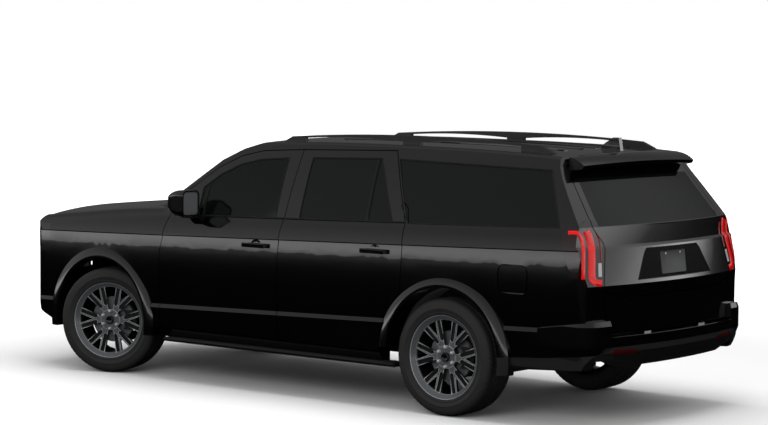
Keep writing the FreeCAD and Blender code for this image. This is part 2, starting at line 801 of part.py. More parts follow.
front_pillar = front_pillar.common(block(150.0, wing_rear_x - seat_gap, 0, half_width, 0,
                                         2 * roof_edge_z))
front_pillar = biggest(front_pillar)
for strap in front_straps:
    front_pillar = front_pillar.fuse(strap)
centre_pillar = biggest(side_rest.common(block(-200.0, 150.0 - seat_gap, roof_edge_y / 2, half_width,
                                               pillar_foot_z, roof_split_z)))
for strap in rear_straps:
    centre_pillar = centre_pillar.fuse(strap)
quarter_front_x = -880.0
sill = side_rest.common(block(rear_axle_x + arch_clear, wing_rear_x - seat_gap, sill_inner_y, half_width,
                              0, pillar_foot_z - seat_gap))
roof_half = shell.common(block(gate_seam_x + shut_gap, 700.0, 0, half_width, roof_split_z + seat_gap,
                               2 * roof_edge_z)).cut(screen_prism)
roof_half = roof_half.cut(front_opening).cut(front_inner).cut(rear_opening).cut(rear_inner)
rib_height = 5.0
rib_width = 46.0
rib_pitch = 190.0
rib_front_x = -120.0
rib_rear_x = -2090.0
ribs = [block(rib_rear_x, rib_front_x, max(0.0, n * rib_pitch - rib_width / 2),
              n * rib_pitch + rib_width / 2, roof_split_z + overrun / 2, 2 * roof_edge_z)
        for n in (0, 1, 2)]
ribs = greenhouse(-rib_height).common(Part.makeCompound(ribs)).cut(greenhouse(rib_height))
gate_strap_y = 420.0
gate_strap_width = 60.0
gate_strap_depth = 8.0
gate_strap = shell.common(greenhouse(gate_strap_depth)).common(
    block(gate_seam_x + seat_gap, gate_seam_x + shut_gap + seat_gap, gate_strap_y,
          gate_strap_y + gate_strap_width, roof_split_z, 2 * roof_edge_z))
roof_half = biggest(roof_half).fuse(biggest(gate_strap)).fuse(ribs)

# Rear: gate, drop gate, quarter, bumper, lamps
gate_top_y = 690.0
gate_shoulder_y = 704.0
gate_shoulder_z = 1725.0
gate_glass_y = 798.0
gate_glass_z = 1346.0
gate_notch_y = 712.0
gate_notch_z = 1236.0
gate_corner_y = 785.0
gate_corner_z = 957.0
gate_toe_y = 783.0
gate_toe_z = 931.0
gate_bend_y = 555.0
gate_bend_z = 880.0
gate_low_z = 885.0
gate_draft_y = 600.0
side_draft = 0.2
seam_slope = 0.4
seam_low_z = 800.0
seam_high_z = 950.0
cutter_reach = 520.0
gate_half_outline = [
    (0.0, 2 * roof_edge_z), (gate_top_y, 2 * roof_edge_z), (gate_shoulder_y, gate_shoulder_z),
    (gate_glass_y, gate_glass_z), (gate_notch_y, gate_notch_z), (gate_corner_y, gate_corner_z),
    (gate_toe_y, gate_toe_z), (gate_bend_y, gate_bend_z), (0.0, gate_low_z)]


def rear_surface_x(y, z):
    """Place of the rear face at a height and a distance from the middle plane."""
    rows = [(point_z, point_x) for point_x, point_z in gate_profile + rear_profile]
    return lerp_table(rows, z, 1) + y * y / (2 * rear_plan_radius)


def gate_cutter(outline, grow):
    """Loft through the rear, straight down to the rear face and drawn in behind it.

    Its sides draw in and its low seam drops from the rear face forwards.
    """
    moved = offset_outline(outline, [0.0 if i == len(outline) - 1 else grow
                                     for i in range(len(outline))])
    outside = [V(rear_x - overrun, y, z) for y, z in moved]
    face = [V(rear_surface_x(y, z), y, z) for y, z in moved]
    inside = []
    for y, z in moved:
        depth = rear_x + cutter_reach - rear_surface_x(y, z)
        side = y - side_draft * depth if y > gate_draft_y else y
        drop = seam_slope * depth if seam_low_z < z < seam_high_z else 0.0
        inside.append(V(rear_x + cutter_reach, side, z - drop))
    return Part.makeLoft([polygon(ring) for ring in (outside, face, inside)], True, True)


rear_zone = block(rear_x - overrun, gate_seam_x, 0, half_width + overrun, 0, 2 * roof_edge_z)
rear_shell = shell.common(rear_zone)
gate_half = biggest(rear_shell.common(gate_cutter(gate_half_outline, 0.0)))
gate_opening = gate_cutter(gate_half_outline, shut_gap)
drop_low_z = 640.0
drop_top_y = 770.0
drop_top_z = 915.0
drop_mid_y = 757.0
drop_mid_z = 754.0
drop_low_y = 735.0
drop_outline = [(0.0, gate_low_z - split_gap), (gate_bend_y, gate_bend_z - split_gap),
                (drop_top_y, drop_top_z), (drop_mid_y, drop_mid_z), (drop_low_y, drop_low_z),
                (0.0, drop_low_z)]
drop_half = biggest(rear_shell.common(gate_cutter(drop_outline, 0.0)))
drop_opening = gate_cutter(drop_outline, shut_gap)
rear_glass_low_y = 748.0
rear_glass_low_z = 1352.0
rear_glass_high_y = 668.0
rear_glass_high_z = 1660.0


def rear_glass_outline(inset):
    """Left half of the rear window seen from behind."""
    return [(0.0, rear_glass_low_z + inset), (rear_glass_low_y - inset, rear_glass_low_z + inset),
            (rear_glass_high_y - inset, rear_glass_high_z - inset),
            (0.0, rear_glass_high_z - inset)]


gate_half = biggest(gate_half.cut(prism_yz(rear_glass_outline(0.0), rear_x, gate_seam_x)))
rear_pane_half = biggest(green_ahead.common(block(rear_x, gate_seam_x, 0, half_width, 0,
                                                  2 * roof_edge_z))
                         .common(prism_yz(rear_glass_outline(seat_gap), rear_x, gate_seam_x)))

# Recess for the plate, its floor steeper than the gate so that a ledge is left below
recess_top_y = 330.0
recess_top_z = 1192.0
recess_low_y = 458.0
recess_low_z = 986.0
recess_floor_top_x = -2712.0
recess_floor_low_x = -2738.0
plate_recess = prism_yz([(0.0, recess_low_z), (recess_low_y, recess_low_z),
                         (recess_top_y, recess_top_z), (0.0, recess_top_z)],
                        rear_x - overrun, rear_x + cutter_reach)
plate_recess = plate_recess.common(prism_xz(
    [(rear_x - overrun, recess_low_z), (recess_floor_low_x, recess_low_z),
     (recess_floor_top_x, recess_top_z), (rear_x - overrun, recess_top_z)], 0, half_width))
gate_half = biggest(gate_half.cut(plate_recess))

# Spoiler: a thin blade that carries the roof line on over the rear window
spoiler_half_width = 684.0
spoiler_lip = 11.0
spoiler_tip_x = -2506.0
spoiler_corner_x = -2450.0
spoiler_tip_z = 1752.0
spoiler_corner_z = 1733.0
spoiler_root_x = -2384.0
spoiler_root_z = 1712.0
spoiler_sag = 21.0


def spoiler():
    """Left half of the blade, lofted over sections that follow the crown of the roof."""
    crown_z = edge_z(gate_seam_x) + roof_crown
    wires = []
    for share in (0.0, 0.4, 0.75, 1.0):
        y = share * spoiler_half_width
        bow = share * share
        tip_x = spoiler_tip_x + bow * (spoiler_corner_x - spoiler_tip_x)
        tip_z = spoiler_tip_z + bow * (spoiler_corner_z - spoiler_tip_z)
        top = V(gate_seam_x - seat_gap, y, crown_z - seat_gap - bow * spoiler_sag)
        tip = V(tip_x, y, tip_z + spoiler_lip)
        mid = (top + tip) / 2 + V(0, 0, spoiler_lip)
        mid.y = y
        wires.append(Part.Wire([
            arc(top, mid, tip), line(tip, V(tip_x + spoiler_lip, y, tip_z - spoiler_lip)),
            line(V(tip_x + spoiler_lip, y, tip_z - spoiler_lip),
                 V(spoiler_root_x, y, spoiler_root_z)),
            line(V(spoiler_root_x, y, spoiler_root_z), V(gate_seam_x - seat_gap, y, spoiler_root_z)),
            line(V(gate_seam_x - seat_gap, y, spoiler_root_z), top)]))
    return Part.makeLoft(wires, True, False)


# Bumper corner: plan points of the bulge at its widest, and its height steps
corner_front_x = -2300.0
corner_front_y = 986.0
corner_turn_x = -2615.0
corner_turn_y = 975.0
corner_mid_x = -2696.0
corner_mid_y = 925.0
corner_back_x = -2727.0
corner_back_y = 850.0
corner_inner_x = -2745.0
corner_inner_y = 700.0
corner_low_z = 470.0
corner_full_z = 560.0
corner_round_z = 700.0
corner_top_front_z = 672.0
corner_top_rear_z = 757.0
corner_draft = 26.0
corner_top_z = 800.0


def bumper_corner():
    """Bulge of the left bumper corner under its sloping shoulder."""
    wires = []
    for z, inset in ((corner_low_z, corner_draft), (corner_full_z, 0.0), (corner_round_z, 0.0),
                     (corner_top_z, corner_draft)):
        front_in = V(corner_front_x, corner_inner_y, z)
        front = V(corner_front_x, corner_front_y - inset, z)
        turn = V(corner_turn_x + inset / 2, corner_turn_y - inset, z)
        mid = V(corner_mid_x + inset, corner_mid_y - inset, z)
        back = V(corner_back_x + inset, corner_back_y - inset / 2, z)
        inner = V(corner_inner_x + inset, corner_inner_y, z)
        wires.append(Part.Wire([line(front_in, front), line(front, turn), arc(turn, mid, back),
                                line(back, inner), line(inner, front_in)]))
    solid = Part.makeLoft(wires, True, True)
    keep = prism_xz([(corner_front_x, corner_low_z), (corner_front_x, corner_top_front_z),
                     (rear_x - overrun, corner_top_rear_z), (rear_x - overrun, corner_low_z)],
                    0, half_width + overrun)
    return solid.common(keep).cut(cavity)


# Seams of the corner seen from the side
bumper_start_x = -1700.0
seam_start_z = 757.0
seam_flat_x = -2280.0
seam_flat_z = 795.0
seam_bend_x = -2378.0
seam_bend_z = 832.0
seam_rise_x = -2493.0
seam_rise_z = 938.0
seam_lamp_x = -2570.0
seam_lamp_z = 1020.0
lamp_top_z = 1347.0
lamp_top_x = -2501.0
lamp_brow_x = -2462.0
lamp_brow_z = 1311.0
lamp_side_x = -2473.0
lamp_side_z = 1223.0
lamp_waist_x = -2526.0
lamp_waist_z = 1084.0
lamp_chin_x = -2592.0
lamp_chin_z = 1019.0
lamp_foot_x = -2649.0
lamp_foot_z = 990.0
lamp_tip_x = -2704.0
lamp_tip_z = 961.0
lamp_outline = [
    (lamp_top_x, lamp_top_z), (lamp_brow_x, lamp_brow_z), (lamp_side_x, lamp_side_z),
    (lamp_waist_x, lamp_waist_z), (lamp_chin_x, lamp_chin_z), (lamp_foot_x, lamp_foot_z),
    (lamp_tip_x, lamp_tip_z), (rear_x - overrun, gate_corner_z), (rear_x - overrun, lamp_top_z)]
bumper_outline = [
    (bumper_start_x, 0.0), (bumper_start_x, seam_start_z), (seam_flat_x, seam_flat_z),
    (seam_bend_x, seam_bend_z), (seam_rise_x, seam_rise_z), (seam_lamp_x, seam_lamp_z),
    (rear_x - overrun, seam_lamp_z), (rear_x - overrun, 0.0)]


def side_zone_prism(outline, grow):
    """Prism along Y over an outline seen from the side, grown or drawn in."""
    return prism_xz(offset_outline(outline, [grow] * len(outline)), 0, half_width + overrun)


bumper_top_z = 626.0
bumper_depth = 124.0
bumper_inner_y = 860.0
rear_flare = flare(rear_axle_x)
bumper_prism = side_zone_prism(bumper_outline, 0.0)
lamp_prism = side_zone_prism(lamp_outline, 0.0)
quarter = shell.common(block(rear_x - overrun, quarter_front_x, roof_edge_y / 2, half_width + overrun,
                             floor_z - floor_thickness, roof_split_z))
quarter = quarter.cut(block(rear_x - overrun, quarter_front_x, 0, sill_inner_y - overrun * 3, 0,
                            bumper_top_z))
quarter = quarter.cut(block(rear_x - overrun, quarter_front_x, 0, sill_inner_y, 0, floor_z))
quarter = quarter.cut(block(rear_axle_x + arch_clear - seat_gap, quarter_front_x, 0,
                            half_width + overrun, 0, pillar_foot_z))
for cutter in (rear_opening, rear_inner, gate_opening, drop_opening, rear_arch):
    quarter = quarter.cut(cutter)
tail_lamp = biggest(quarter.common(side_zone_prism(lamp_outline, -seat_gap)))
quarter = biggest(quarter.cut(lamp_prism).cut(bumper_prism))
quarter = quarter.fuse(rear_flare.common(block(rear_x, rear_axle_x + arch_clear, 0, half_width,
                                               floor_z - floor_thickness, roof_split_z))
                       .cut(rear_opening).cut(bumper_prism))
quarter_glass_front_x = -972.0
quarter_glass_front_z = 1738.0
quarter_glass_foot_x = -1165.0
quarter_glass_foot_z = 1312.0
quarter_glass_back_x = -2425.0
quarter_glass_back_z = 1345.0
quarter_glass_head_x = -2262.0
quarter_glass_head_z = 1708.0
quarter_window = [(quarter_glass_front_x, quarter_glass_front_z),
                  (quarter_glass_foot_x, quarter_glass_foot_z),
                  (quarter_glass_back_x, quarter_glass_back_z),
                  (quarter_glass_head_x, quarter_glass_head_z)]
quarter, quarter_pane = window_pane(quarter_window, quarter)

bumper_part = lower_outer.common(block(rear_x - overrun, bumper_start_x, 0, half_width + overrun,
                                       0, seam_lamp_z)).cut(cavity)
bumper_part = bumper_part.fuse(bumper_corner()).fuse(
    rear_flare.common(block(rear_x, rear_axle_x, 0, half_width, 0, seam_lamp_z)))
bumper_part = bumper_part.common(side_zone_prism(bumper_outline, -seat_gap))
bumper_part = bumper_part.cut(block(rear_x + bumper_depth, bumper_start_x, -overrun,
                                    bumper_inner_y, 0, bumper_top_z))
bumper_part = bumper_part.cut(block(rear_x - overrun, bumper_start_x, -overrun,
                                    drop_low_y + shut_gap, bumper_top_z - seat_gap, seam_lamp_z))
for cutter in (gate_opening, drop_opening, rear_arch, lamp_prism):
    bumper_part = bumper_part.cut(cutter)
bumper_part = biggest(bumper_part)

# Satin valance under the painted bumper, with its reflectors
valance_front_z = 435.0
valance_side_x = -2329.0
valance_side_z = 473.0
valance_rear_x = -2715.0
valance_rear_z = 514.0
valance_top_z = 558.0
valance_top_y = 812.0
valance_foot_y = 868.0
valance_zone = prism_xz([(bumper_start_x, 0.0), (bumper_start_x, valance_front_z),
                         (valance_side_x, valance_side_z), (valance_rear_x, valance_rear_z),
                         (rear_x - overrun, valance_rear_z), (rear_x - overrun, 0.0)],
                        0, half_width + overrun)
valance_zone = valance_zone.fuse(prism_yz(
    [(0.0, 0.0), (0.0, valance_top_z), (valance_top_y, valance_top_z),
     (valance_foot_y, valance_rear_z - seat_gap), (valance_foot_y, 0.0)],
    rear_x - overrun, valance_side_x))
rear_bumper_half = biggest(bumper_part.cut(valance_zone))
valance_half = biggest(bumper_part.common(valance_zone.translated(V(0, 0, -seat_gap))))
reflector_outer_y = 750.0
reflector_outer_z = 508.0
reflector_brow_y = 734.0
reflector_brow_z = 540.0
reflector_inner_y = 516.0
reflector_inner_z = 533.0
reflector_foot_y = 479.0
reflector_foot_z = 500.0
reflector_floor_x = -2712.0
reflector_outline = [(reflector_outer_y, reflector_outer_z), (reflector_brow_y, reflector_brow_z),
                     (reflector_inner_y, reflector_inner_z), (reflector_foot_y, reflector_foot_z)]
reflector = biggest(valance_half.common(prism_yz(
    offset_outline(reflector_outline, [-seat_gap] * 4), rear_x - overrun,
    reflector_floor_x - seat_gap)))
valance_half = biggest(valance_half.cut(prism_yz(reflector_outline, rear_x - overrun,
                                                 reflector_floor_x)))
drop_strap_y = 300.0
drop_strap_width = 80.0
drop_strap_x = -2750.0
drop_strap_length = 50.0
rear_bumper_half = rear_bumper_half.fuse(
    block(drop_strap_x, drop_strap_x + drop_strap_length, drop_strap_y,
          drop_strap_y + drop_strap_width, bumper_top_z - panel_thickness, drop_low_z - seat_gap))

# Wheels

def revolved(profile, x, z):
    """Solid of revolution about an axle along Y from (radius, y) points."""
    face = Part.Face(polygon([V(x + r, y, z) for r, y in profile]))
    return face.revolve(V(x, 0, z), V(0, 1, 0), 360)


def tyre(x):
    half = tyre_width / 2
    profile = [(rim_radius + seat_gap, wheel_y - rim_width / 2),
               (tyre_radius - tyre_wall_drop, wheel_y - half),
               (tyre_radius - tyre_bulge * 2, wheel_y - half + tyre_bulge),
               (tyre_radius, wheel_y - half + tyre_shoulder),
               (tyre_radius, wheel_y + half - tyre_shoulder),
               (tyre_radius - tyre_bulge * 2, wheel_y + half - tyre_bulge),
               (tyre_radius - tyre_wall_drop, wheel_y + half),
               (rim_radius + seat_gap, wheel_y + rim_width / 2)]
    return revolved(profile, x, tyre_radius)


def fork_outline(half, reach, crotch, root):
    """Outline of one Y fork about the hub, along its stem: (out, across) points."""
    spread = math.radians(spoke_spread_deg)
    along = reach * math.cos(spread)
    side = reach * math.sin(spread)
    turn = half * math.sin(spread)
    return [(root, half), (crotch * 0.6, half * 1.06), (along - turn, side + half),
            (along + turn, side - half), (crotch, 0.0), (along + turn, -side + half),
            (along - turn, -side - half), (crotch * 0.6, -half * 1.06), (root, -half)]


def arm_pocket(x, sign):
    """Sunk pocket along one arm of a fork, with a rim of metal left round it."""
    spread = math.radians(spoke_spread_deg) * sign
    inner = spoke_width / 2 - spoke_rim
    start = spoke_crotch_radius * 0.72
    stop = rim_radius - rim_well - spoke_rim
    lean = math.atan2(stop * math.sin(spread), stop * math.cos(spread) - start * 0.5)
    face_y = rim_lip_y - rim_face_depth
    points = []
    for out, across in ((start, inner * 0.2), (start + inner, inner), (stop, inner),
                        (stop, -inner), (start + inner, -inner)):
        along = start * 0.5 + (out - start * 0.5) * math.cos(lean) - across * math.sin(lean)
        points.append(V(x + along, face_y + overrun,
                        tyre_radius + (out - start * 0.5) * math.sin(lean)
                        + across * math.cos(lean)))
    return Part.Face(polygon(points)).extrude(V(0, -overrun - spoke_pocket, 0))


def spoke_fork(x):
    """One Y fork: a stem from the hub and two arms with sunk pockets that reach the barrel."""
    tip = rim_radius - rim_wall * 2
    points = fork_outline(spoke_width / 2, tip, spoke_crotch_radius, hub_radius * 0.8)
    face_y = rim_lip_y - rim_face_depth
    face = Part.Face(polygon([V(x + u, face_y, tyre_radius + v) for u, v in points]))
    fork = face.extrude(V(0, -spoke_thickness, 0))
    dish = revolved([(hub_radius, face_y + overrun), (tip + overrun, face_y + overrun),
                     (tip + overrun, face_y), (tip, face_y), (spoke_crotch_radius, face_y - spoke_dish),
                     (hub_radius, face_y - spoke_dish)], x, tyre_radius)
    fork = fork.cut(dish)
    return fork.cut(arm_pocket(x, 1)).cut(arm_pocket(x, -1))


def rim(x):
    """Barrel, six forks, hub and wheel nuts in one piece."""
    lip_in = rim_lip_y - rim_width
    well = rim_radius - rim_well
    profile = [(rim_radius, rim_lip_y), (rim_radius, rim_lip_y - rim_wall),
               (well, rim_lip_y - rim_wall * 3), (well, lip_in + rim_wall * 3),
               (rim_radius, lip_in + rim_wall), (rim_radius, lip_in),
               (well - rim_wall, lip_in + rim_wall * 2), (well - rim_wall, rim_lip_y - rim_wall * 3)]
    solid = revolved(profile, x, tyre_radius)
    face_y = rim_lip_y - rim_face_depth
    fork = spoke_fork(x)
    for i in range(spoke_count):
        turned = fork.copy()
        turned.rotate(V(x, 0, tyre_radius), V(0, 1, 0), i * 360.0 / spoke_count)
        solid = solid.fuse(turned)
    hub = rod_y(x, tyre_radius, hub_radius, disc_y + disc_thickness / 2 + seat_gap, face_y)
    hub = hub.fuse(rod_y(x, tyre_radius, cap_radius, face_y, face_y + cap_height))
    for i in range(lug_count):
        angle = 2 * math.pi * (i + 0.5) / lug_count
        hub = hub.fuse(rod_y(x + lug_pitch_radius * math.cos(angle),
                             tyre_radius + lug_pitch_radius * math.sin(angle), lug_radius,
                             face_y - lug_height, face_y + lug_height))
    solid = solid.fuse(hub)
    bore = rod_y(x, tyre_radius, hub_bore, 0, disc_y + disc_thickness / 2 + hub_bore_depth)
    return solid.cut(bore)


def brake_disc(x):
    disc = rod_y(x, tyre_radius, disc_radius, disc_y - disc_thickness / 2, disc_y
                 + disc_thickness / 2)
    return disc.cut(rod_y(x, tyre_radius, hub_bore, 0, half_width))


hub_bore_depth = 30.0


def spindle(x):
    """Stub axle that carries a wheel."""
    return rod_y(x, tyre_radius, hub_bore - bearing_gap, kingpin_y,
                 disc_y + disc_thickness / 2 + hub_bore_depth - bearing_gap)


def knuckle(x):
    """Upright with its spindle and the brake caliper behind the axle."""
    upright = block(x - knuckle_radius, x + knuckle_radius, kingpin_y - knuckle_thickness / 2,
                    kingpin_y + knuckle_thickness / 2 - seat_gap,
                    tyre_radius - knuckle_half_height, tyre_radius + knuckle_half_height)
    solid = upright.fuse(spindle(x))
    for low in (tyre_radius - knuckle_half_height - overrun,
                tyre_radius + knuckle_half_height - kingpin_reach):
        solid = solid.cut(rod_z(x, kingpin_y, kingpin_radius + bearing_gap, low,
                                low + overrun + kingpin_reach))
    ring = rod_y(x, tyre_radius, disc_radius + caliper_reach, disc_y - caliper_width / 2 + running_gap,
                 disc_y + caliper_width / 2 - running_gap)
    ring = ring.cut(rod_y(x, tyre_radius, disc_radius - caliper_width * 0.7, 0, half_width))
    sector = block(x - 2 * disc_radius, x - disc_radius / 2, 0, half_width,
                   tyre_radius - caliper_length / 2, tyre_radius + caliper_length / 2)
    caliper = ring.common(sector)
    caliper = caliper.cut(rod_y(x, tyre_radius, disc_radius + running_gap,
                                disc_y - disc_thickness / 2 - running_gap,
                                disc_y + disc_thickness / 2 + running_gap))
    bracket = block(x - disc_radius, x, kingpin_y - knuckle_thickness / 2,
                    disc_y - disc_thickness / 2 - running_gap,
                    tyre_radius - knuckle_radius / 2, tyre_radius + knuckle_radius / 2)
    return solid.fuse(bracket).fuse(caliper)


caliper_reach = 34.0
running_gap = 5.2
kingpin_radius = 14.0
kingpin_reach = 40.0


def steered(shape, side):
    """Turn a front corner piece to the angle at which the vehicle is parked."""
    turned = shape.copy()
    turned.rotate(V(front_axle_x, side * kingpin_y, 0), V(0, 0, 1), steer_rest_deg)
    return turned


# Chassis

rail_y = 430.0
rail_width = 84.0
rail_height = 108.0
rail_top_z = floor_z - floor_thickness - seat_gap
rail_low_z = rail_top_z - rail_height
rail_front_x = 2380.0
rail_rear_x = -2560.0
kick_top_z = rear_floor_z - floor_thickness - seat_gap
kick_front_x = -1230.0
kick_run = 150.0
cross_xs = (2320.0, 1290.0, 500.0, -515.0, -1130.0)
rear_cross_x = -2440.0
cross_width = 90.0


def chassis_frame():
    """Two rails and their cross members, kicked up over the rear axle."""
    top = [(rail_front_x, rail_top_z), (kick_front_x + kick_run / 2, rail_top_z),
           (kick_front_x - kick_run / 2, kick_top_z), (rail_rear_x, kick_top_z)]
    low = [(x - kick_run / 4 if z == kick_top_z and x > rail_rear_x else x, z - rail_height)
           for x, z in reversed(top)]
    rail = prism_xz(top + low, rail_y - rail_width / 2, rail_y + rail_width / 2)
    frame = rail.fuse(mirrored(rail))
    for x in cross_xs:
        frame = frame.fuse(block(x - cross_width / 2, x + cross_width / 2, -rail_y, rail_y,
                                 rail_low_z + rail_height / 4, rail_top_z - rail_height / 8))
    frame = frame.fuse(block(rear_cross_x - cross_width / 2, rear_cross_x + cross_width / 2,
                             -rail_y, rail_y, kick_top_z - rail_height * 0.75,
                             kick_top_z - rail_height / 8))
    return frame.removeSplitter()


arm_thickness = 36.0
arm_root_half = 150.0
arm_tip_half = 45.0
arm_tip_reach = 14.0
tower_depth = 14.0
damper_y = 545.0
damper_radius = 46.0
damper_top_z = 800.0


def control_arm(x, root_y, z_low, z_high):
    """Plate arm from the frame to its ball at the upright."""
    tip_y = kingpin_y + arm_tip_reach
    return prism_xy([(x - arm_root_half, root_y), (x + arm_root_half, root_y),
                     (x + arm_tip_half, tip_y), (x - arm_tip_half, tip_y)], z_low, z_high)


def arm_pins(x):
    """Ball pins of both arms, up and down into the upright."""
    low = tyre_radius - knuckle_half_height
    high = tyre_radius + knuckle_half_height
    pin_low = rod_z(x, kingpin_y, kingpin_radius, low - running_gap - arm_thickness / 2,
                    low + kingpin_reach - running_gap)
    pin_high = rod_z(x, kingpin_y, kingpin_radius, high - kingpin_reach + running_gap,
                     high + running_gap + arm_thickness / 2)
    return [pin_low, pin_high]


def front_suspension():
    """Arms, mounting boxes on the frame and spring leg of the left front corner."""
    x = front_axle_x
    root = rail_y + rail_width / 2 + seat_gap
    low = tyre_radius - knuckle_half_height - running_gap
    high = tyre_radius + knuckle_half_height + running_gap
    solid = block(x - arm_root_half, x + arm_root_half, root, root + tower_depth,
                  low - arm_thickness, high + arm_thickness)
    leg = rod_z(x, damper_y, damper_radius, low - arm_thickness / 2, damper_top_z)
    pieces = [control_arm(x, root, low - arm_thickness, low),
              control_arm(x, root, high, high + arm_thickness), leg]
    for piece in pieces + arm_pins(x):
        solid = solid.fuse(piece)
    return solid.removeSplitter()


def rear_suspension():
    """Final drive, half shafts, arms, uprights and spindles of the rear axle."""
    x = rear_axle_x
    solid = rod_y(x, tyre_radius, drive_radius, -drive_half, drive_half)
    solid = solid.fuse(rod_y(x, tyre_radius, shaft_radius, -kingpin_y, kingpin_y))
    low = tyre_radius - knuckle_half_height
    for side in (0, 1):
        parts = [knuckle(x), control_arm(x, rail_y - rail_width / 2, low - arm_thickness / 2,
                                         low + arm_thickness / 2)]
        parts.append(rod_z(x, damper_y, damper_radius, low, kick_top_z))
        for post in (-1, 1):
            px = x + post * (arm_root_half - subframe_width / 2)
            parts.append(block(px - subframe_width / 2, px + subframe_width / 2,
                               rail_y - rail_width / 2, rail_y + rail_width / 4, low,
                               kick_top_z - rail_height - seat_gap))
        parts.append(block(x - arm_root_half, x + arm_root_half, -drive_half / 2,
                           rail_y, low - arm_thickness / 2, low + arm_thickness / 2))
        for part in parts:
            solid = solid.fuse(mirrored(part) if side else part)
    return solid


drive_radius = 118.0
drive_half = 140.0
shaft_radius = 24.0
subframe_width = 60.0


# Floor, engine and seats

def floor_pan():
    """Cabin floor with its bulkhead, rear step and wheel houses."""
    half = sill_inner_y - seat_gap
    floor = block(floor_step_x, firewall_x, -half, half, floor_z - floor_thickness, floor_z)
    floor = floor.fuse(block(firewall_x - floor_thickness, firewall_x, -bulkhead_half,
                             bulkhead_half, floor_z - floor_thickness, bulkhead_top_z))
    rear_half = []
    for x_share in (-0.40, -0.5, -0.6, -0.7, -0.83, -0.88):
        x = x_share * front_x
        rear_half.append((min(x, floor_step_x), side_y(x) - door_thickness - floor_margin))
    for y_share in (0.8, 0.5, 0.25, 0.0):
        y = y_share * rear_floor_half
        rear_half.append((rear_floor_x + y * y / (2 * rear_plan_radius), y))
    outline = rear_half[:-1] + [(x, -y) for x, y in reversed(rear_half)]
    raised = prism_xy(outline, rear_floor_z - floor_thickness, rear_floor_z)
    riser = block(floor_step_x, floor_step_x + floor_thickness, -half, half,
                  floor_z - floor_thickness, rear_floor_z)
    floor = floor.fuse(riser).fuse(raised)
    for side in (-1, 1):
        cut = rod_y(rear_axle_x, tyre_radius, arch_radius, 0, half_width)
        cut = cut.common(block(-length, 0, arch_in_y, half_width, 0, 2 * roof_edge_z))
        house = wheelhouse()
        floor = floor.cut(cut if side > 0 else mirrored(cut))
        floor = floor.fuse(house if side > 0 else mirrored(house))
    return floor.removeSplitter()


floor_margin = 3.0
rear_floor_x = -2668.0
rear_floor_half = 820.0
bulkhead_half = 700.0
bulkhead_top_z = 1180.0
arch_in_y = 640.0


def wheelhouse():
    """Liner over the left rear wheel."""
    x = rear_axle_x
    outer = rod_y(x, tyre_radius, arch_radius, arch_in_y, quarter_inner_y)
    inner = rod_y(x, tyre_radius, arch_radius - liner_thickness, arch_in_y + liner_thickness,
                  half_width)
    shell_piece = outer.cut(inner)
    return biggest(shell_piece.common(block(x - length, x + length, 0, half_width, floor_z
                                            - floor_thickness, roof_edge_z)))


quarter_inner_y = 850.0


def seat(x, y, width, cushion_z, base_z, with_head):
    """Cushion and raked back of one seat from its side outline."""
    deep, thick, back = seat_depth, seat_thickness, seat_back_height
    outline = [(x + deep, cushion_z + thick * 1.1), (x + deep, cushion_z), (x, cushion_z),
               (x - back * 0.42, cushion_z + back), (x - back * 0.42 + thick * 0.62, cushion_z
               + back * 1.03), (x + thick, cushion_z + thick)]
    solid = prism_xz(outline, y - width / 2, y + width / 2)
    base = block(x + thick / 2, x + deep - thick, y - width / 3, y + width / 3, base_z + seat_gap, cushion_z)
    solid = solid.fuse(base)
    if with_head:
        rest_x = x - back * 0.46
        rest_z = cushion_z + back * 1.0
        rest = block(rest_x, rest_x + thick * 0.75, y - head_width / 2, y + head_width / 2,
                     rest_z + head_lift, rest_z + head_lift + head_height)
        rest = rest.makeFillet(thick / 4, rest.Edges)
        stem = block(rest_x + thick * 0.3, rest_x + thick * 0.45, y - head_width / 4,
                     y + head_width / 4, rest_z - head_lift, rest_z + head_lift * 2)
        solid = solid.fuse(rest).fuse(stem)
    return solid.removeSplitter()


seat_depth = 470.0
seat_thickness = 130.0
seat_back_height = 560.0
head_width = 250.0
head_height = 170.0
head_lift = 26.0
front_seat_x = 150.0
middle_seat_x = -800.0
rear_seat_x = -1750.0
seat_y = 400.0
seat_width = 520.0
front_cushion_z = 700.0
rear_cushion_z = 800.0
rear_seat_width = 1240.0


def dashboard():
    """Dash board with its cowl, and the steering wheel on its column."""
    outline = [(firewall_x - floor_thickness - seat_gap, 780.0), (firewall_x - floor_thickness - seat_gap,
               1150.0), (1210.0, 1190.0), (880.0, 1150.0), (800.0, 1080.0), (860.0, 860.0),
               (1000.0, 780.0)]
    board = prism_xz(outline, -dash_half, dash_half)
    centre = V(wheel_ring_x, wheel_ring_y, wheel_ring_z)
    tilt = V(-math.cos(math.radians(wheel_ring_tilt)), 0, math.sin(math.radians(wheel_ring_tilt)))
    ring = Part.makeTorus(wheel_ring_radius, wheel_ring_section, centre, tilt)
    boss = Part.makeCylinder(wheel_ring_radius / 3, column_length, centre, tilt * -1)
    spoke = block(-wheel_ring_section, wheel_ring_section, -wheel_ring_radius, wheel_ring_radius,
                  -wheel_ring_section * 2, wheel_ring_section * 2)
    spoke.translate(centre)
    return board.fuse(boss).fuse(ring).fuse(spoke)


dash_half = 740.0
wheel_ring_x = 640.0
wheel_ring_y = 400.0
wheel_ring_z = 1065.0
wheel_ring_radius = 178.0
wheel_ring_section = 15.0
wheel_ring_tilt = 25.0
column_length = 300.0


def engine():
    """Plain closed block of the power unit, carried on the frame."""
    body = block(1420.0, 2180.0, -330.0, 330.0, rail_top_z + seat_gap, 980.0)
    body = body.fuse(block(1420.0, 2180.0, -430.0, 430.0, rail_top_z + seat_gap, 640.0))
    return body.removeSplitter()


def radiator():
    """Radiator and lamp carrier that stands on the front of the frame."""
    return block(2290.0, 2350.0, -600.0, 600.0, rail_top_z + seat_gap, 1050.0)


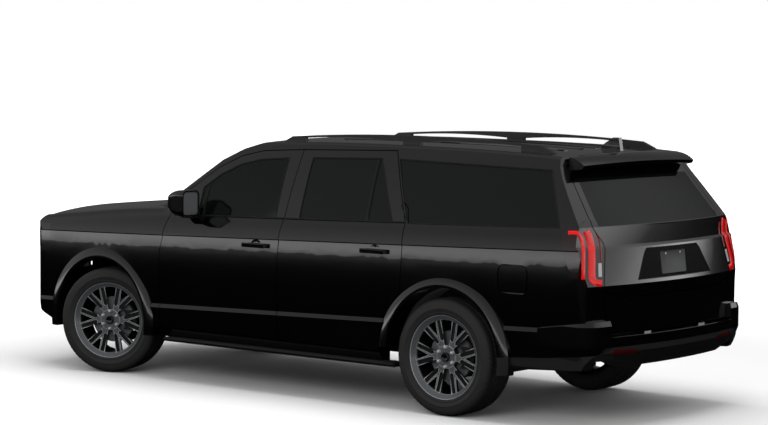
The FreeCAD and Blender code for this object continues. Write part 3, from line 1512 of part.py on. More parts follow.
def exhaust():
    """Pipe and silencer under the floor on the right side."""
    top = rail_low_z + rail_height / 4 - seat_gap
    pipe = rod_between(V(1200.0, -250.0, 300.0), V(-1100.0, -250.0, 300.0), 32.0)
    box = block(-1110.0, -530.0, -330.0, -170.0, top - 110.0, top)
    return pipe.fuse(box)


def running_board():
    """Step under the left doors with its brackets to the sill."""
    outline = [(860.0, 300.0), (985.0, 300.0), (1000.0, 318.0), (985.0, 330.0 - seat_gap),
               (860.0, 330.0 - seat_gap)]
    return prism_yz(outline, -1082.0, 1159.0)


rail_bar_y = 600.0
rail_bar_width = 38.0
rail_bar_height = 30.0
rail_start_x = 347.0
rail_shoulder_x = 180.0
rail_shoulder_z = 1868.0
rail_crown_z = 1903.0
rail_crown_x = -940.0
rail_back_x = -2060.0
rail_back_z = 1864.0
rail_end_x = -2231.0
rail_foot_z = 1790.0
rail_slot_low_z = 1858.0
rail_slot_rise = 16.0
rail_slot_front_x = 60.0
rail_foot_half = 75.0
rail_slot_rear_x = -1900.0


def roof_rail():
    """Bar on the left roof edge, arched over its feet with open slots between them."""
    y = rail_bar_y
    start = V(rail_start_x, y, rail_foot_z)
    shoulder = V(rail_shoulder_x, y, rail_shoulder_z)
    crown = V(rail_crown_x, y, rail_crown_z)
    back = V(rail_back_x, y, rail_back_z)
    end = V(rail_end_x, y, rail_foot_z)
    face = Part.Face(Part.Wire([line(start, shoulder), arc(shoulder, crown, back),
                                line(back, end), line(end, start)]))
    bar = face.extrude(V(0, rail_bar_width, 0))
    foot_x = rail_crown_x
    for low_x, high_x in ((rail_slot_rear_x, foot_x - rail_foot_half),
                          (foot_x + rail_foot_half, rail_slot_front_x)):
        middle = (low_x + high_x) / 2
        left = V(low_x, 0, rail_slot_low_z)
        right = V(high_x, 0, rail_slot_low_z)
        peak = V(middle, 0, rail_slot_low_z + rail_slot_rise)
        slot = Part.Face(Part.Wire([arc(left, peak, right), line(right, V(high_x, 0, 0)),
                                    line(V(high_x, 0, 0), V(low_x, 0, 0)),
                                    line(V(low_x, 0, 0), left)]))
        bar = bar.cut(slot.extrude(V(0, half_width, 0)))
    return bar


def antenna():
    """Fin on the roof near its rear edge."""
    outline = [(-2121.0, 1815.0), (-2150.0, 1862.0), (-2230.0, 1912.0), (-2280.0, 1912.0),
               (-2297.0, 1812.0)]
    return prism_xz(outline, -18.0, 18.0)


# Fuel flap on the left quarter
flap_x = -2093.0
flap_z = 985.0
flap_length = 226.0
flap_height = 180.0
flap_thickness = 12.0
flap_outline = [(flap_x - flap_length / 2, flap_z - flap_height / 2),
                (flap_x + flap_length / 2, flap_z - flap_height / 2),
                (flap_x + flap_length / 2, flap_z + flap_height / 2),
                (flap_x - flap_length / 2, flap_z + flap_height / 2)]
flap_round = 42.0


def flap_block(grow):
    """Prism through the side over the flap, with rounded corners."""
    solid = prism_xz(offset_outline(flap_outline, [grow] * 4), roof_edge_y, half_width + overrun)
    across = [e for e in solid.Edges if e.BoundBox.YLength > overrun]
    return solid.makeFillet(flap_round + grow, across)


flap_prism = flap_block(0.0)
flap_gap = flap_block(split_gap)
flap = biggest(lower_outer.cut(lower_body(flap_thickness)).common(flap_prism))
flap_pocket = flap_gap.cut(lower_body(pillar_depth))
flap_strap_length = 50.0
flap_strap_height = 40.0
flap_hinge_back = 8.0
flap_hinge_x = flap_x + flap_length / 2 - flap_hinge_back
flap_strap = lower_body(flap_thickness + seat_gap).cut(lower_body(pillar_depth + seat_gap)).common(
    block(flap_hinge_x - 20.0 - flap_strap_length, flap_hinge_x - 20.0, roof_edge_y, half_width,
          flap_z - flap_strap_height / 2, flap_z + flap_strap_height / 2))
left_quarter = biggest(quarter.cut(flap_pocket)).fuse(biggest(flap_strap))


def whole(half):
    """Join a left half with its mirror image at the middle plane."""
    return biggest(half.fuse(mirrored(half)).removeSplitter())


spoiler_half = biggest(spoiler())
rail_piece = biggest(roof_rail().cut(green_clear))
os.makedirs("parts", exist_ok=True)
save("front_left_door", [biggest(front_door)])
save("front_right_door", [mirrored(biggest(front_door))])
save("rear_left_door", [biggest(rear_door)])
save("rear_right_door", [mirrored(biggest(rear_door))])
save("front_left_window", [front_pane])
save("front_right_window", [mirrored(front_pane)])
save("rear_left_window", [rear_pane])
save("rear_right_window", [mirrored(rear_pane)])
save("left_mirror", [mirror_solid])
save("right_mirror", [mirrored(mirror_solid)])
save("front_wings", both(wing))
save("bonnet", [whole(bonnet_half_solid)])
save("cowl_panel", [whole(biggest(cowl_half))])
save("grille", [whole(biggest(grille_half_solid))])
save("headlamps", both(headlamp))
save("front_bumper", [whole(biggest(bumper_half))])
save("windscreen", [whole(windscreen_half)])
save("roof_panel", [biggest(whole(roof_half).fuse(antenna()))])
save("body_pillars", both(biggest(front_pillar)) + both(biggest(centre_pillar)))
save("sills", both(biggest(sill)))
save("quarter_panels", [left_quarter, mirrored(quarter)])
save("quarter_windows", both(quarter_pane))
save("tail_lamps", both(tail_lamp))
save("rear_bumper", [whole(biggest(rear_bumper_half))])
save("rear_valance", [whole(valance_half)])
save("rear_reflectors", both(reflector))
save("liftgate", [whole(biggest(gate_half.fuse(spoiler_half)))])
save("rear_window", [whole(rear_pane_half)])
save("drop_gate", [whole(drop_half)])
save("fuel_flap", [flap])
save("roof_rails", both(rail_piece))
save("running_boards", both(running_board()))
save("chassis_frame", [chassis_frame()])
save("floor_pan", [floor_pan()])
save("engine", [engine(), radiator()])
save("exhaust", [exhaust()])
save("suspension", both(front_suspension()) + [rear_suspension()])
save("dashboard", [dashboard()])
front_seat = seat(front_seat_x, seat_y, seat_width, front_cushion_z, floor_z, True)
middle_seat = seat(middle_seat_x, seat_y, seat_width, front_cushion_z, floor_z, True)
rear_seat = seat(rear_seat_x, 0.0, rear_seat_width, rear_cushion_z, rear_floor_z, False)
save("seats", both(front_seat) + both(middle_seat) + [rear_seat])
save("left_knuckle", [steered(knuckle(front_axle_x), 1)])
save("right_knuckle", [steered(mirrored(knuckle(front_axle_x)), -1)])
tyre_solids = [tyre(0.0)]
wheel_solids = [rim(0.0), brake_disc(0.0)]
for name, x, side in (("front_left", front_axle_x, 1), ("front_right", front_axle_x, -1),
                      ("rear_left", rear_axle_x, 1), ("rear_right", rear_axle_x, -1)):
    for piece, parts in (("tyre", tyre_solids), ("wheel", wheel_solids)):
        shapes = [part.translated(V(x, 0, 0)) for part in parts]
        if side < 0:
            shapes = [mirrored(shape) for shape in shapes]
        if x > 0:
            shapes = [steered(shape, side) for shape in shapes]
        save(name + "_" + piece, shapes)
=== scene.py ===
"""Looks of a long family sport utility vehicle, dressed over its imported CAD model.

Every piece is in metres in the frame of the CAD: +X forward, +Y to the left, +Z up, with the
origin on the ground under the middle of the vehicle.
"""
import logging
import math
from dataclasses import dataclass, field
from enum import Enum
from typing import Any, Dict, Iterable, List, Optional, Sequence, Tuple

import bmesh
import bpy
import numpy as np
from mathutils import Matrix, Vector


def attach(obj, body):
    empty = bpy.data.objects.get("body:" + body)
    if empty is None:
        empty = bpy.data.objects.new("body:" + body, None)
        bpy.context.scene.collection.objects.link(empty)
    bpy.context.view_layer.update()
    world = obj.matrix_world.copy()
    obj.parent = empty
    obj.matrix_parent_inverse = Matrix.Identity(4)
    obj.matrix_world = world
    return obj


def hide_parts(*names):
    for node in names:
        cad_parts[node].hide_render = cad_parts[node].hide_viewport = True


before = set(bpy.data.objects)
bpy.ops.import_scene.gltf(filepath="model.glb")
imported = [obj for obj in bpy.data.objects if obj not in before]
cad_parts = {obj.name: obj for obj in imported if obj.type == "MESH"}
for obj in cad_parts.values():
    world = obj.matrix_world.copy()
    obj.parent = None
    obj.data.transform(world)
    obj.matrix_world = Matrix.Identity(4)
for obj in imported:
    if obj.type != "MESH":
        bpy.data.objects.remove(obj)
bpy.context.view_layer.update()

LOG = logging.getLogger("suv")
MM = 0.001
NODES: Dict[str, bpy.types.Object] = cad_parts
FRONT_AXLE_X = 1.834
REAR_AXLE_X = -1.509
PARKED_STEER_DEG = 19.0
# Edges that turn more than this stay sharp
SHARP_DEG = 38.0
# How far outside a node the points start that are projected on it
PROBE_REACH = 1.0
# Distance under which two points are one
TOUCH = 1e-6
# Steps round a thin cord
CORD_STEPS = 8
# Vector operations whose result is a number
MEASURES = ("DISTANCE", "DOT_PRODUCT", "LENGTH")

Places = Tuple[Tuple[float, float], ...]
Spot = Tuple[float, float, float]
Colour = Tuple[float, float, float, float]
Ramp = Tuple[float, float, float, float]


class Side(Enum):
    """The two sides of the vehicle, with the sign of their Y axis."""

    LEFT = 1
    RIGHT = -1

    @property
    def word(self) -> str:
        """The side as the names of pieces and bodies have it."""
        return self.name.lower()


def linear(colour: str, alpha: float = 1.0) -> Colour:
    """Turn an sRGB hex value to a linear colour.

    Args:
        colour: Hex value such as "#1b1c1d".
        alpha: Fourth value of the result.

    Returns:
        Linear red, green and blue, and alpha.
    """
    parts = [int(colour[i:i + 2], 16) / 255 for i in (1, 3, 5)]
    lin = [p / 12.92 if p <= 0.04045 else ((p + 0.055) / 1.055) ** 2.4 for p in parts]
    return (lin[0], lin[1], lin[2], alpha)


def add(tree: bpy.types.NodeTree, kind: str, links: Optional[Dict[Any, Any]] = None,
        **settings: Any) -> bpy.types.Node:
    """Add a shader node with its settings and its links.

    Args:
        tree: Node tree that takes the node.
        kind: Blender's type name of the node.
        links: Input socket, by name or number, to a value or to another node's output.
        **settings: Attributes set on the node.

    Returns:
        The new node.
    """
    node = tree.nodes.new(kind)
    for key, value in settings.items():
        setattr(node, key, value)
    for socket, source in (links or {}).items():
        if isinstance(source, bpy.types.NodeSocket):
            tree.links.new(source, node.inputs[socket])
        else:
            node.inputs[socket].default_value = source
    return node


def number(tree: bpy.types.NodeTree, operation: str, *values: Any) -> bpy.types.NodeSocket:
    """Work out a number from others, each a socket or a value."""
    return add(tree, "ShaderNodeMath", dict(enumerate(values)), operation=operation).outputs[0]


def vector(tree: bpy.types.NodeTree, operation: str, *values: Any) -> bpy.types.NodeSocket:
    """Work out a vector, or for MEASURES a number, from vectors."""
    node = add(tree, "ShaderNodeVectorMath", dict(enumerate(values)), operation=operation)
    return node.outputs["Value" if operation in MEASURES else "Vector"]


def ramp(tree: bpy.types.NodeTree, value: bpy.types.NodeSocket, low: float, high: float,
         start: float = 0.0, end: float = 1.0, smooth: bool = False) -> bpy.types.NodeSocket:
    """Carry a number from one range to another and hold it at both ends.

    Args:
        tree: Node tree that takes the node.
        value: The number.
        low: Value that gives start.
        high: Value that gives end.
        start: First end of the result.
        end: Second end of the result.
        smooth: Eases in and out.

    Returns:
        The number in its new range.
    """
    return add(tree, "ShaderNodeMapRange", {0: value, 1: low, 2: high, 3: start, 4: end},
               interpolation_type="SMOOTHSTEP" if smooth else "LINEAR").outputs[0]


def blend(tree: bpy.types.NodeTree, share: Any, first: Any, second: Any) -> bpy.types.NodeSocket:
    """Colour between two others, each a socket or an sRGB hex value."""
    ends = [linear(end) if isinstance(end, str) else end for end in (first, second)]
    return add(tree, "ShaderNodeMix", {0: share, 6: ends[0], 7: ends[1]},
               data_type="RGBA").outputs[2]


def between(tree: bpy.types.NodeTree, share: Any, first: bpy.types.NodeSocket,
            second: bpy.types.NodeSocket) -> bpy.types.NodeSocket:
    """Shader between two others."""
    return add(tree, "ShaderNodeMixShader", {0: share, 1: first, 2: second}).outputs[0]


def relief(tree: bpy.types.NodeTree, place: bpy.types.NodeSocket, cell_mm: float,
           height_mm: float, strength: float, feature: str) -> bpy.types.NodeSocket:
    """Normal of a fine relief of cells.

    Args:
        tree: Node tree that takes the nodes.
        place: Object coordinates.
        cell_mm: Size of a cell in real millimetres.
        height_mm: Height of the relief in millimetres.
        strength: Share of the relief that shows.
        feature: "F1" for sharp cells, "SMOOTH_F1" for soft grain.

    Returns:
        The bent normal.
    """
    cells = add(tree, "ShaderNodeTexVoronoi", {"Vector": place, "Scale": 1 / (cell_mm * MM)},
                feature=feature)
    return add(tree, "ShaderNodeBump", {
        "Height": cells.outputs[0], "Distance": height_mm * MM,
        "Strength": strength}).outputs[0]


@dataclass(frozen=True)
class Surface:
    """A material of this vehicle, made once and found again by its name.

    Attributes:
        name: What the real material is and how it was made.
        colour: Main colour as sRGB hex.
    """

    name: str
    colour: str

    def shader(self, tree: bpy.types.NodeTree,
               place: bpy.types.NodeSocket) -> bpy.types.NodeSocket:
        """Build the surface from Object coordinates and return its shader socket."""
        raise NotImplementedError

    def shown(self) -> Colour:
        """Colour of the plain view."""
        return linear(self.colour)

    def material(self) -> bpy.types.Material:
        """Build the material the first time and return it."""
        found = bpy.data.materials.get(self.name)
        if found is not None:
            return found
        made = bpy.data.materials.new(self.name)
        made.use_nodes = True
        made.diffuse_color = self.shown()
        tree = made.node_tree
        tree.nodes.clear()
        place = add(tree, "ShaderNodeTexCoord").outputs["Object"]
        add(tree, "ShaderNodeOutputMaterial", {"Surface": self.shader(tree, place)})
        return made


@dataclass(frozen=True)
class Finish(Surface):
    """A surface finish with its gloss and the fine structure of the real material.

    Attributes:
        second: Colour that the variation leans to, as sRGB hex.
        roughness: Microscopic roughness.
        spread: How far the roughness wanders.
        metallic: Share of bare metal.
        ior: Index of refraction.
        coat: Weight of a clear coat.
        coat_roughness: Roughness of that coat.
        grain_mm: Size of the grain in real millimetres, 0 for none.
        grain_height_mm: Height of the grain in millimetres.
        grain_share: Share of the grain that shows.
        mottle_mm: Size of the slow colour variation in millimetres.
        sheen: Weight of a soft fibre sheen.
    """

    second: str
    roughness: float
    spread: float = 0.04
    metallic: float = 0.0
    ior: float = 1.5
    coat: float = 0.0
    coat_roughness: float = 0.03
    grain_mm: float = 0.0
    grain_height_mm: float = 0.0
    grain_share: float = 0.6
    mottle_mm: float = 60.0
    sheen: float = 0.0

    def shader(self, tree: bpy.types.NodeTree,
               place: bpy.types.NodeSocket) -> bpy.types.NodeSocket:
        """Mottled colour and gloss under a fine grain."""
        mottle = add(tree, "ShaderNodeTexNoise", {
            "Vector": place, "Scale": 1 / (self.mottle_mm * MM), "Detail": 4.0}).outputs[0]
        shader = add(tree, "ShaderNodeBsdfPrincipled", {
            "Base Color": blend(tree, mottle, self.colour, self.second),
            "Roughness": ramp(tree, mottle, 0.0, 1.0, self.roughness - self.spread,
                              self.roughness + self.spread),
            "Metallic": self.metallic, "IOR": self.ior, "Coat Weight": self.coat,
            "Coat Roughness": self.coat_roughness, "Sheen Weight": self.sheen})
        if self.grain_mm:
            grain = relief(tree, place, self.grain_mm, self.grain_height_mm,
                           self.grain_share, "SMOOTH_F1")
            tree.links.new(grain, shader.inputs["Normal"])
        return shader.outputs[0]


@dataclass(frozen=True)
class Tint(Surface):
    """Tinted sheet glass: a film that the eye sees through, with a sharp gloss.

    Its colour is that of what passes through.

    Attributes:
        body: Colour that the glass shows by itself.
        density: Share of the light that the film stops.
        roughness: Roughness of the polished face.
        ior: Index of refraction.
    """

    body: str
    density: float
    roughness: float = 0.02
    ior: float = 1.45

    def shown(self) -> Colour:
        """Colour of the plain view, half as clear as the film is dense."""
        return linear(self.body, 1.0 - 0.5 * self.density)

    def shader(self, tree: bpy.types.NodeTree,
               place: bpy.types.NodeSocket) -> bpy.types.NodeSocket:
        """Film and clear glass under a mirror that grows with the angle."""
        clear = add(tree, "ShaderNodeBsdfTransparent", {"Color": linear(self.colour)})
        film = add(tree, "ShaderNodeBsdfDiffuse", {"Color": linear(self.body)})
        through = between(tree, self.density, clear.outputs[0], film.outputs[0])
        gloss = add(tree, "ShaderNodeBsdfGlossy", {"Roughness": self.roughness})
        fresnel = add(tree, "ShaderNodeFresnel", {"IOR": self.ior})
        return between(tree, fresnel.outputs[0], through, gloss.outputs[0])


@dataclass(frozen=True)
class Machined(Surface):
    """Cast wheel: one dark lacquer, painted near black in its pockets and on its flanks as
    painted shade of the recesses, grey on its face, and bright turned metal on the face's rounded
    edges.

    The face is found by its distance along the axle, read from Object coordinates that a
    Mapping node turns back by the steering angle at which the wheel is parked.

    Attributes:
        face_mm: Distance from the middle plane beyond which the metal is turned bright.
        disc_mm: Radius of the ground brake disc that shows between the spokes.
        disc_face_mm: Distance from the middle plane inside which that disc lies.
        kingpin: Place that the wheel steers about, in metres.
        steer_deg: Steering angle at rest.
        axle: Place of the axle, X and Z, in metres before steering.
        face_blend_mm: Width over which pocket turns to face.
        edge_mm: Radius of the bright rounded edges.
        edge_agreement: Product of the rounded and the true normal where an edge begins, and
            where it is full.
        ring_scale: Turned rings to the metre, as the wave texture counts them.
        ring_waver: How far the rings wander.
        mottle_scale: Blotches of the lacquer to the metre.
        metallic: Share of bare metal.
        roughness: Microscopic roughness.
        coat: Weight of the clear coat.
        coat_roughness: Roughness of that coat.
    """

    face_mm: float
    disc_mm: float
    disc_face_mm: float
    kingpin: Tuple[float, float]
    steer_deg: float
    axle: Tuple[float, float]
    face_blend_mm: float = 0.6
    edge_mm: float = 4.5
    edge_agreement: Tuple[float, float] = (0.99, 0.95)
    ring_scale: float = 40.0
    ring_waver: float = 0.3
    mottle_scale: float = 60.0
    metallic: float = 0.35
    roughness: float = 0.30
    coat: float = 0.5
    coat_roughness: float = 0.08

    def shader(self, tree: bpy.types.NodeTree,
               place: bpy.types.NodeSocket) -> bpy.types.NodeSocket:
        """Pocket, face, bright edge and brake disc, told apart by their place; the pockets carry
        painted shade.
        """
        centred = vector(tree, "SUBTRACT", place, (*self.kingpin, 0.0))
        straight = add(tree, "ShaderNodeMapping", {
            "Vector": centred, "Rotation": (0, 0, -math.radians(self.steer_deg))})
        split = add(tree, "ShaderNodeSeparateXYZ", {0: straight.outputs[0]}).outputs
        outward = number(tree, "ABSOLUTE", number(tree, "ADD", split["Y"], self.kingpin[1]))
        raised = ramp(tree, outward, (self.face_mm - self.face_blend_mm) * MM,
                      self.face_mm * MM)
        flat = add(tree, "ShaderNodeCombineXYZ", {
            0: split["X"], 1: number(tree, "SUBTRACT", split["Z"], self.axle[1])}).outputs[0]
        radius = vector(tree, "DISTANCE", flat, (self.axle[0] - self.kingpin[0], 0.0, 0.0))
        disc = number(tree, "MULTIPLY", number(tree, "LESS_THAN", radius, self.disc_mm * MM),
                      number(tree, "LESS_THAN", outward, self.disc_face_mm * MM))
        rings = add(tree, "ShaderNodeTexWave", {
            "Vector": flat, "Scale": self.ring_scale, "Distortion": self.ring_waver},
            wave_type="RINGS", rings_direction="SPHERICAL").outputs[0]
        mottle = add(tree, "ShaderNodeTexNoise", {
            "Vector": place, "Scale": self.mottle_scale}).outputs[0]
        soft = add(tree, "ShaderNodeBevel", {"Radius": self.edge_mm * MM}, samples=8)
        true = add(tree, "ShaderNodeNewGeometry").outputs["Normal"]
        agreement = vector(tree, "DOT_PRODUCT", soft.outputs[0], true)
        edge = ramp(tree, agreement, *self.edge_agreement)
        # Painted shade: below the face, in the pockets and on the flanks, the lacquer is darkened
        # to near black (#18191a) as the shade of the recesses.
        lacquer = blend(tree, raised, "#18191a", blend(tree, mottle, "#606467", "#6e7275"))
        metal = blend(tree, number(tree, "MULTIPLY", raised, edge), lacquer,
                      blend(tree, rings, "#e4e6e8", "#f2f3f4"))
        shader = add(tree, "ShaderNodeBsdfPrincipled", {
            "Base Color": blend(tree, disc, metal, "#6d6f70"), "Metallic": self.metallic,
            "Roughness": self.roughness, "Coat Weight": self.coat,
            "Coat Roughness": self.coat_roughness})
        return shader.outputs[0]


@dataclass(frozen=True)
class Glow(Surface):
    """Moulded lamp lens that is lit from behind, with a pattern of small prisms.

    Attributes:
        strength: Light of its own, 0 for a lamp that is off.
        prism_mm: Size of the prisms in real millimetres.
        prism_height_mm: Height of the prisms in millimetres.
        prism_share: Share of the prisms that shows.
        roughness: Microscopic roughness.
        ior: Index of refraction.
        coat: Weight of the clear coat.
        coat_roughness: Roughness of that coat.
    """

    strength: float
    prism_mm: float = 4.0
    prism_height_mm: float = 0.4
    prism_share: float = 0.4
    roughness: float = 0.16
    ior: float = 1.49
    coat: float = 0.3
    coat_roughness: float = 0.04

    def shader(self, tree: bpy.types.NodeTree,
               place: bpy.types.NodeSocket) -> bpy.types.NodeSocket:
        """Clear plastic over small prisms, with a glow of its own."""
        shader = add(tree, "ShaderNodeBsdfPrincipled", {
            "Base Color": linear(self.colour), "Roughness": self.roughness, "IOR": self.ior,
            "Emission Color": linear(self.colour), "Emission Strength": self.strength,
            "Coat Weight": self.coat, "Coat Roughness": self.coat_roughness,
            "Normal": relief(tree, place, self.prism_mm, self.prism_height_mm,
                             self.prism_share, "F1")})
        return shader.outputs[0]


class Finishes:
    """The finishes of this vehicle, each named for the real material."""

    # Solid black paint under clear lacquer: deep, mirror sharp, with almost no colour
    paint = Finish("black_enamel_paint_lacquered", "#020202", "#040405", 0.14, 0.02, ior=1.5,
                   coat=1.0, coat_roughness=0.012, mottle_mm=400.0)
    # Black glass-like cover of the pillars and window surrounds
    piano = Finish("acrylic_black_polished", "#050506", "#08080a", 0.10, 0.02, ior=1.49,
                   mottle_mm=200.0)
    # Grained polypropylene: a dark satin that never mirrors
    cladding = Finish("polypropylene_moulded_grained", "#161617", "#1c1c1d", 0.46, 0.05,
                      grain_mm=1.8, grain_height_mm=0.15)
    # Satin black powder coat on aluminium bars
    rail = Finish("aluminium_powder_coated_black", "#1b1c1d", "#232425", 0.36, 0.04,
                  grain_mm=1.2, grain_height_mm=0.015)
    # Vulcanised rubber of the tyres: matt and slightly grey where dust sits
    rubber = Finish("tyre_rubber_vulcanised", "#262626", "#2e2e2d", 0.55, 0.06,
                    grain_mm=2.4, grain_height_mm=0.12, mottle_mm=35.0)
    # Extruded rubber of the window seals: matt black
    seal = Finish("epdm_rubber_extruded", "#0d0d0e", "#131314", 0.55, 0.05, grain_mm=1.5,
                  grain_height_mm=0.05)
    # Cast iron and pressed steel under black chassis wax
    iron = Finish("steel_pressed_black_wax", "#121213", "#1e1d1c", 0.60, 0.08,
                  grain_mm=3.0, grain_height_mm=0.1)
    # Zinc-plated steel of the wheel nuts and plate screws: bright with soft blotches
    zinc = Finish("steel_zinc_plated", "#e2e4e6", "#cfd2d4", 0.22, 0.05, metallic=0.45,
                  mottle_mm=8.0)
    # Needled carpet on the cabin floor
    carpet = Finish("carpet_needled_charcoal", "#1a1a1b", "#252526", 0.95, 0.03, sheen=0.4,
                    grain_mm=2.0, grain_height_mm=0.6)
    # Soft moulded dash skin
    dash = Finish("polyurethane_skin_moulded", "#18191a", "#1f2021", 0.55, 0.05,
                  grain_mm=1.5, grain_height_mm=0.12)
    # Grained black leather of the seats
    leather = Finish("leather_black_grained", "#1c1b1a", "#262423", 0.50, 0.06, sheen=0.1,
                     grain_mm=2.2, grain_height_mm=0.2)
    # Twisted polyester thread of the seat seams: pale against the leather
    thread = Finish("polyester_thread_twisted", "#4a4846", "#5a5856", 0.7, 0.05, grain_mm=1.2,
                    grain_height_mm=0.2)
    # Smoked lens over the unlit pockets of the rear lamps: nearly black with a red cast
    smoked = Finish("acrylic_smoked_red_moulded", "#150303", "#1f0505", 0.12, 0.03, ior=1.49,
                    coat=1.0, grain_mm=5.0, grain_height_mm=0.25, mottle_mm=12.0)
    # Prismatic reflex panel of the rear reflectors: dark red with fine cells
    reflex = Finish("acrylic_reflex_red_moulded", "#3c0407", "#5a080c", 0.22, 0.05, ior=1.49,
                    coat=0.8, grain_mm=5.0, grain_height_mm=0.8, mottle_mm=9.0)
    # Smoked front lamp body
    lamp_clear = Finish("polycarbonate_smoked_moulded", "#1b1c1e", "#26282b", 0.10, 0.02,
                        coat=1.0)
    # Painted blank plate: dull grey aluminium
    plate = Finish("aluminium_plate_painted_grey", "#48494a", "#505152", 0.45, 0.05,
                   grain_mm=4.0, grain_height_mm=0.04, mottle_mm=50.0)
    # Silvered glass of the door mirrors
    mirror = Finish("glass_silvered_back", "#8f9294", "#868a8c", 0.08, 0.01, metallic=0.6,
                    mottle_mm=200.0)
    # Glossy black centre caps of the wheels: faintly grey
    cap = Finish("abs_moulded_gloss_black", "#0b0c0e", "#101215", 0.12, 0.02, coat=0.5)
    # Lit red rear lamp guides
    lamp_red = Glow("acrylic_red_light_guide", "#d60303", 0.26)
    # Finely dotted red guide of the inner strip
    lamp_dots = Glow("acrylic_red_dotted_guide", "#8c0505", 0.12, 3.0)
    # Clear reversing lamp
    lamp_white = Glow("polycarbonate_clear_prismatic", "#b9bcbd", 0.05, 3.0)
    # White daytime guide of the headlamps
    lamp_day = Glow("polycarbonate_light_guide_white", "#e8ecef", 0.15, 3.0)
    # Privacy glass: nearly black, the cabin only guessed behind it
    privacy = Tint("glass_privacy_tinted", "#4a4f4f", "#1b1d1d", 0.50)
    # Front glass: green-grey, the far windows glow through it
    clear = Tint("glass_laminated_green", "#9db4ae", "#222a28", 0.16)


def turns(count: int) -> np.ndarray:
    """Even steps round a full turn, in radians."""
    return np.linspace(0.0, 2.0 * math.pi, count, endpoint=False)


def in_space(rows: Any, axis: int, place: float) -> np.ndarray:
    """Put rows of two coordinates in space, all at one place along the third axis."""
    return np.insert(np.asarray(rows, float), axis, place, axis=1)


@dataclass(frozen=True)
class Shape:
    """Points and faces of a mesh before it becomes a piece, in metres.

    Attributes:
        points: One row of x, y and z for each vertex.
        faces: Vertex numbers of each face.
    """

    points: np.ndarray
    faces: Tuple[Tuple[int, ...], ...]

    @staticmethod
    def grid(points: np.ndarray, wrap_u: bool = False, wrap_v: bool = False,
             caps: bool = False) -> "Shape":
        """Join a grid of points to quads: face (i, j) spans its four neighbours.

        Args:
            points: Grid of shape (rows, columns, 3).
            wrap_u: Joins the last row to the first.
            wrap_v: Joins the last column to the first.
            caps: Closes the first and the last row with one face each.

        Returns:
            The surface.
        """
        rows, columns = points.shape[:2]
        row, column = np.meshgrid(np.arange(rows if wrap_u else rows - 1),
                                  np.arange(columns if wrap_v else columns - 1), indexing="ij")
        row_up, column_up = (row + 1) % rows, (column + 1) % columns
        quads = np.stack((row * columns + column, row * columns + column_up,
                          row_up * columns + column_up, row_up * columns + column), -1)
        faces = [tuple(face) for face in quads.reshape(-1, 4).tolist()]
        if caps:
            last = (rows - 1) * columns
            faces.append(tuple(range(columns - 1, -1, -1)))
            faces.append(tuple(range(last, last + columns)))
        return Shape(points.reshape(-1, 3), tuple(faces))

    @staticmethod
    def lathe(profile: Any, count: int) -> "Shape":
        """Turn a profile about the Y axis: x = r cos t, z = r sin t at each angle t.

        Args:
            profile: Rows of radius and y.
            count: Steps round the axis.

        Returns:
            The turned surface.
        """
        turn = turns(count)[:, None]
        radius, along = np.asarray(profile, float).T[:, None]
        points = np.stack((radius * np.cos(turn), along + 0.0 * turn, radius * np.sin(turn)), -1)
        return Shape.grid(points, wrap_u=True)

    @staticmethod
    def tube(path: np.ndarray, profile: np.ndarray, out: Sequence[float],
             wrap: bool = False) -> "Shape":
        """Carry a closed profile along a path.

        Each ring is path + a * side + b * out, with out made square to the path's tangent and
        side as their cross product.

        Args:
            path: Rows of x, y and z.
            profile: Rows of a (across) and b (outwards).
            out: Direction that the profile's second axis points to.
            wrap: Joins the end of the path to its start.

        Returns:
            The closed surface.
        """
        if wrap:
            tangent = np.roll(path, -1, 0) - np.roll(path, 1, 0)
        else:
            tangent = np.gradient(path, axis=0)
        tangent = tangent / np.linalg.norm(tangent, axis=1, keepdims=True)
        up = np.asarray(out, float)
        lift = up[None, :] - tangent * (tangent @ up)[:, None]
        lift = lift / np.linalg.norm(lift, axis=1, keepdims=True)
        across = np.cross(tangent, lift)
        points = (path[:, None, :] + profile[None, :, :1] * across[:, None, :]
                  + profile[None, :, 1:] * lift[:, None, :])
        return Shape.grid(points, wrap_u=wrap, wrap_v=True, caps=not wrap)

    @staticmethod
    def joined(shapes: Iterable["Shape"]) -> "Shape":
        """Put several shapes in one, each with its own vertices."""
        points: List[np.ndarray] = []
        faces: List[Tuple[int, ...]] = []
        start = 0
        for shape in shapes:
            points.append(shape.points)
            faces.extend(tuple(start + corner for corner in face) for face in shape.faces)
            start += len(shape.points)
        return Shape(np.concatenate(points), tuple(faces))

    def moved(self, by: Sequence[float]) -> "Shape":
        """Return the shape moved by a vector."""
        return Shape(self.points + np.asarray(by, float), self.faces)

    def scaled(self, by: Sequence[float]) -> "Shape":
        """Return the shape scaled along the three axes."""
        return Shape(self.points * np.asarray(by, float), self.faces)

    def turned(self, axis: str, degrees: float, pivot: Sequence[float] = (0, 0, 0)) -> "Shape":
        """Return the shape turned about an axis through a pivot."""
        turn = np.array(Matrix.Rotation(math.radians(degrees), 3, axis))
        return Shape((self.points - pivot) @ turn.T + pivot, self.faces)

    def mirrored(self) -> "Shape":
        """Return the mirror image across the middle plane of the vehicle."""
        return Shape(self.points * (1.0, -1.0, 1.0), tuple(face[::-1] for face in self.faces))

    def on(self, side: Side) -> "Shape":
        """Return a left-hand shape on the side asked for."""
        return self if side is Side.LEFT else self.mirrored()


def rounded(width: float, height: float, radius: float, steps: int = 6) -> np.ndarray:
    """Outline of a rectangle with round corners about the origin.

    Each corner is centre + radius * (cos t, sin t) over a quarter turn.

    Args:
        width: Full size along the first axis.
        height: Full size along the second axis.
        radius: Corner radius.
        steps: Points in each corner.

    Returns:
        Rows of two coordinates.
    """
    turn = np.linspace(0.0, math.pi / 2, steps)
    corners = []
    for quarter, (sx, sy) in enumerate(((1, 1), (-1, 1), (-1, -1), (1, -1))):
        angle = turn + quarter * math.pi / 2
        corners.append(np.stack((sx * (width / 2 - radius) + radius * np.cos(angle),
                                 sy * (height / 2 - radius) + radius * np.sin(angle)), -1))
    return np.concatenate(corners)


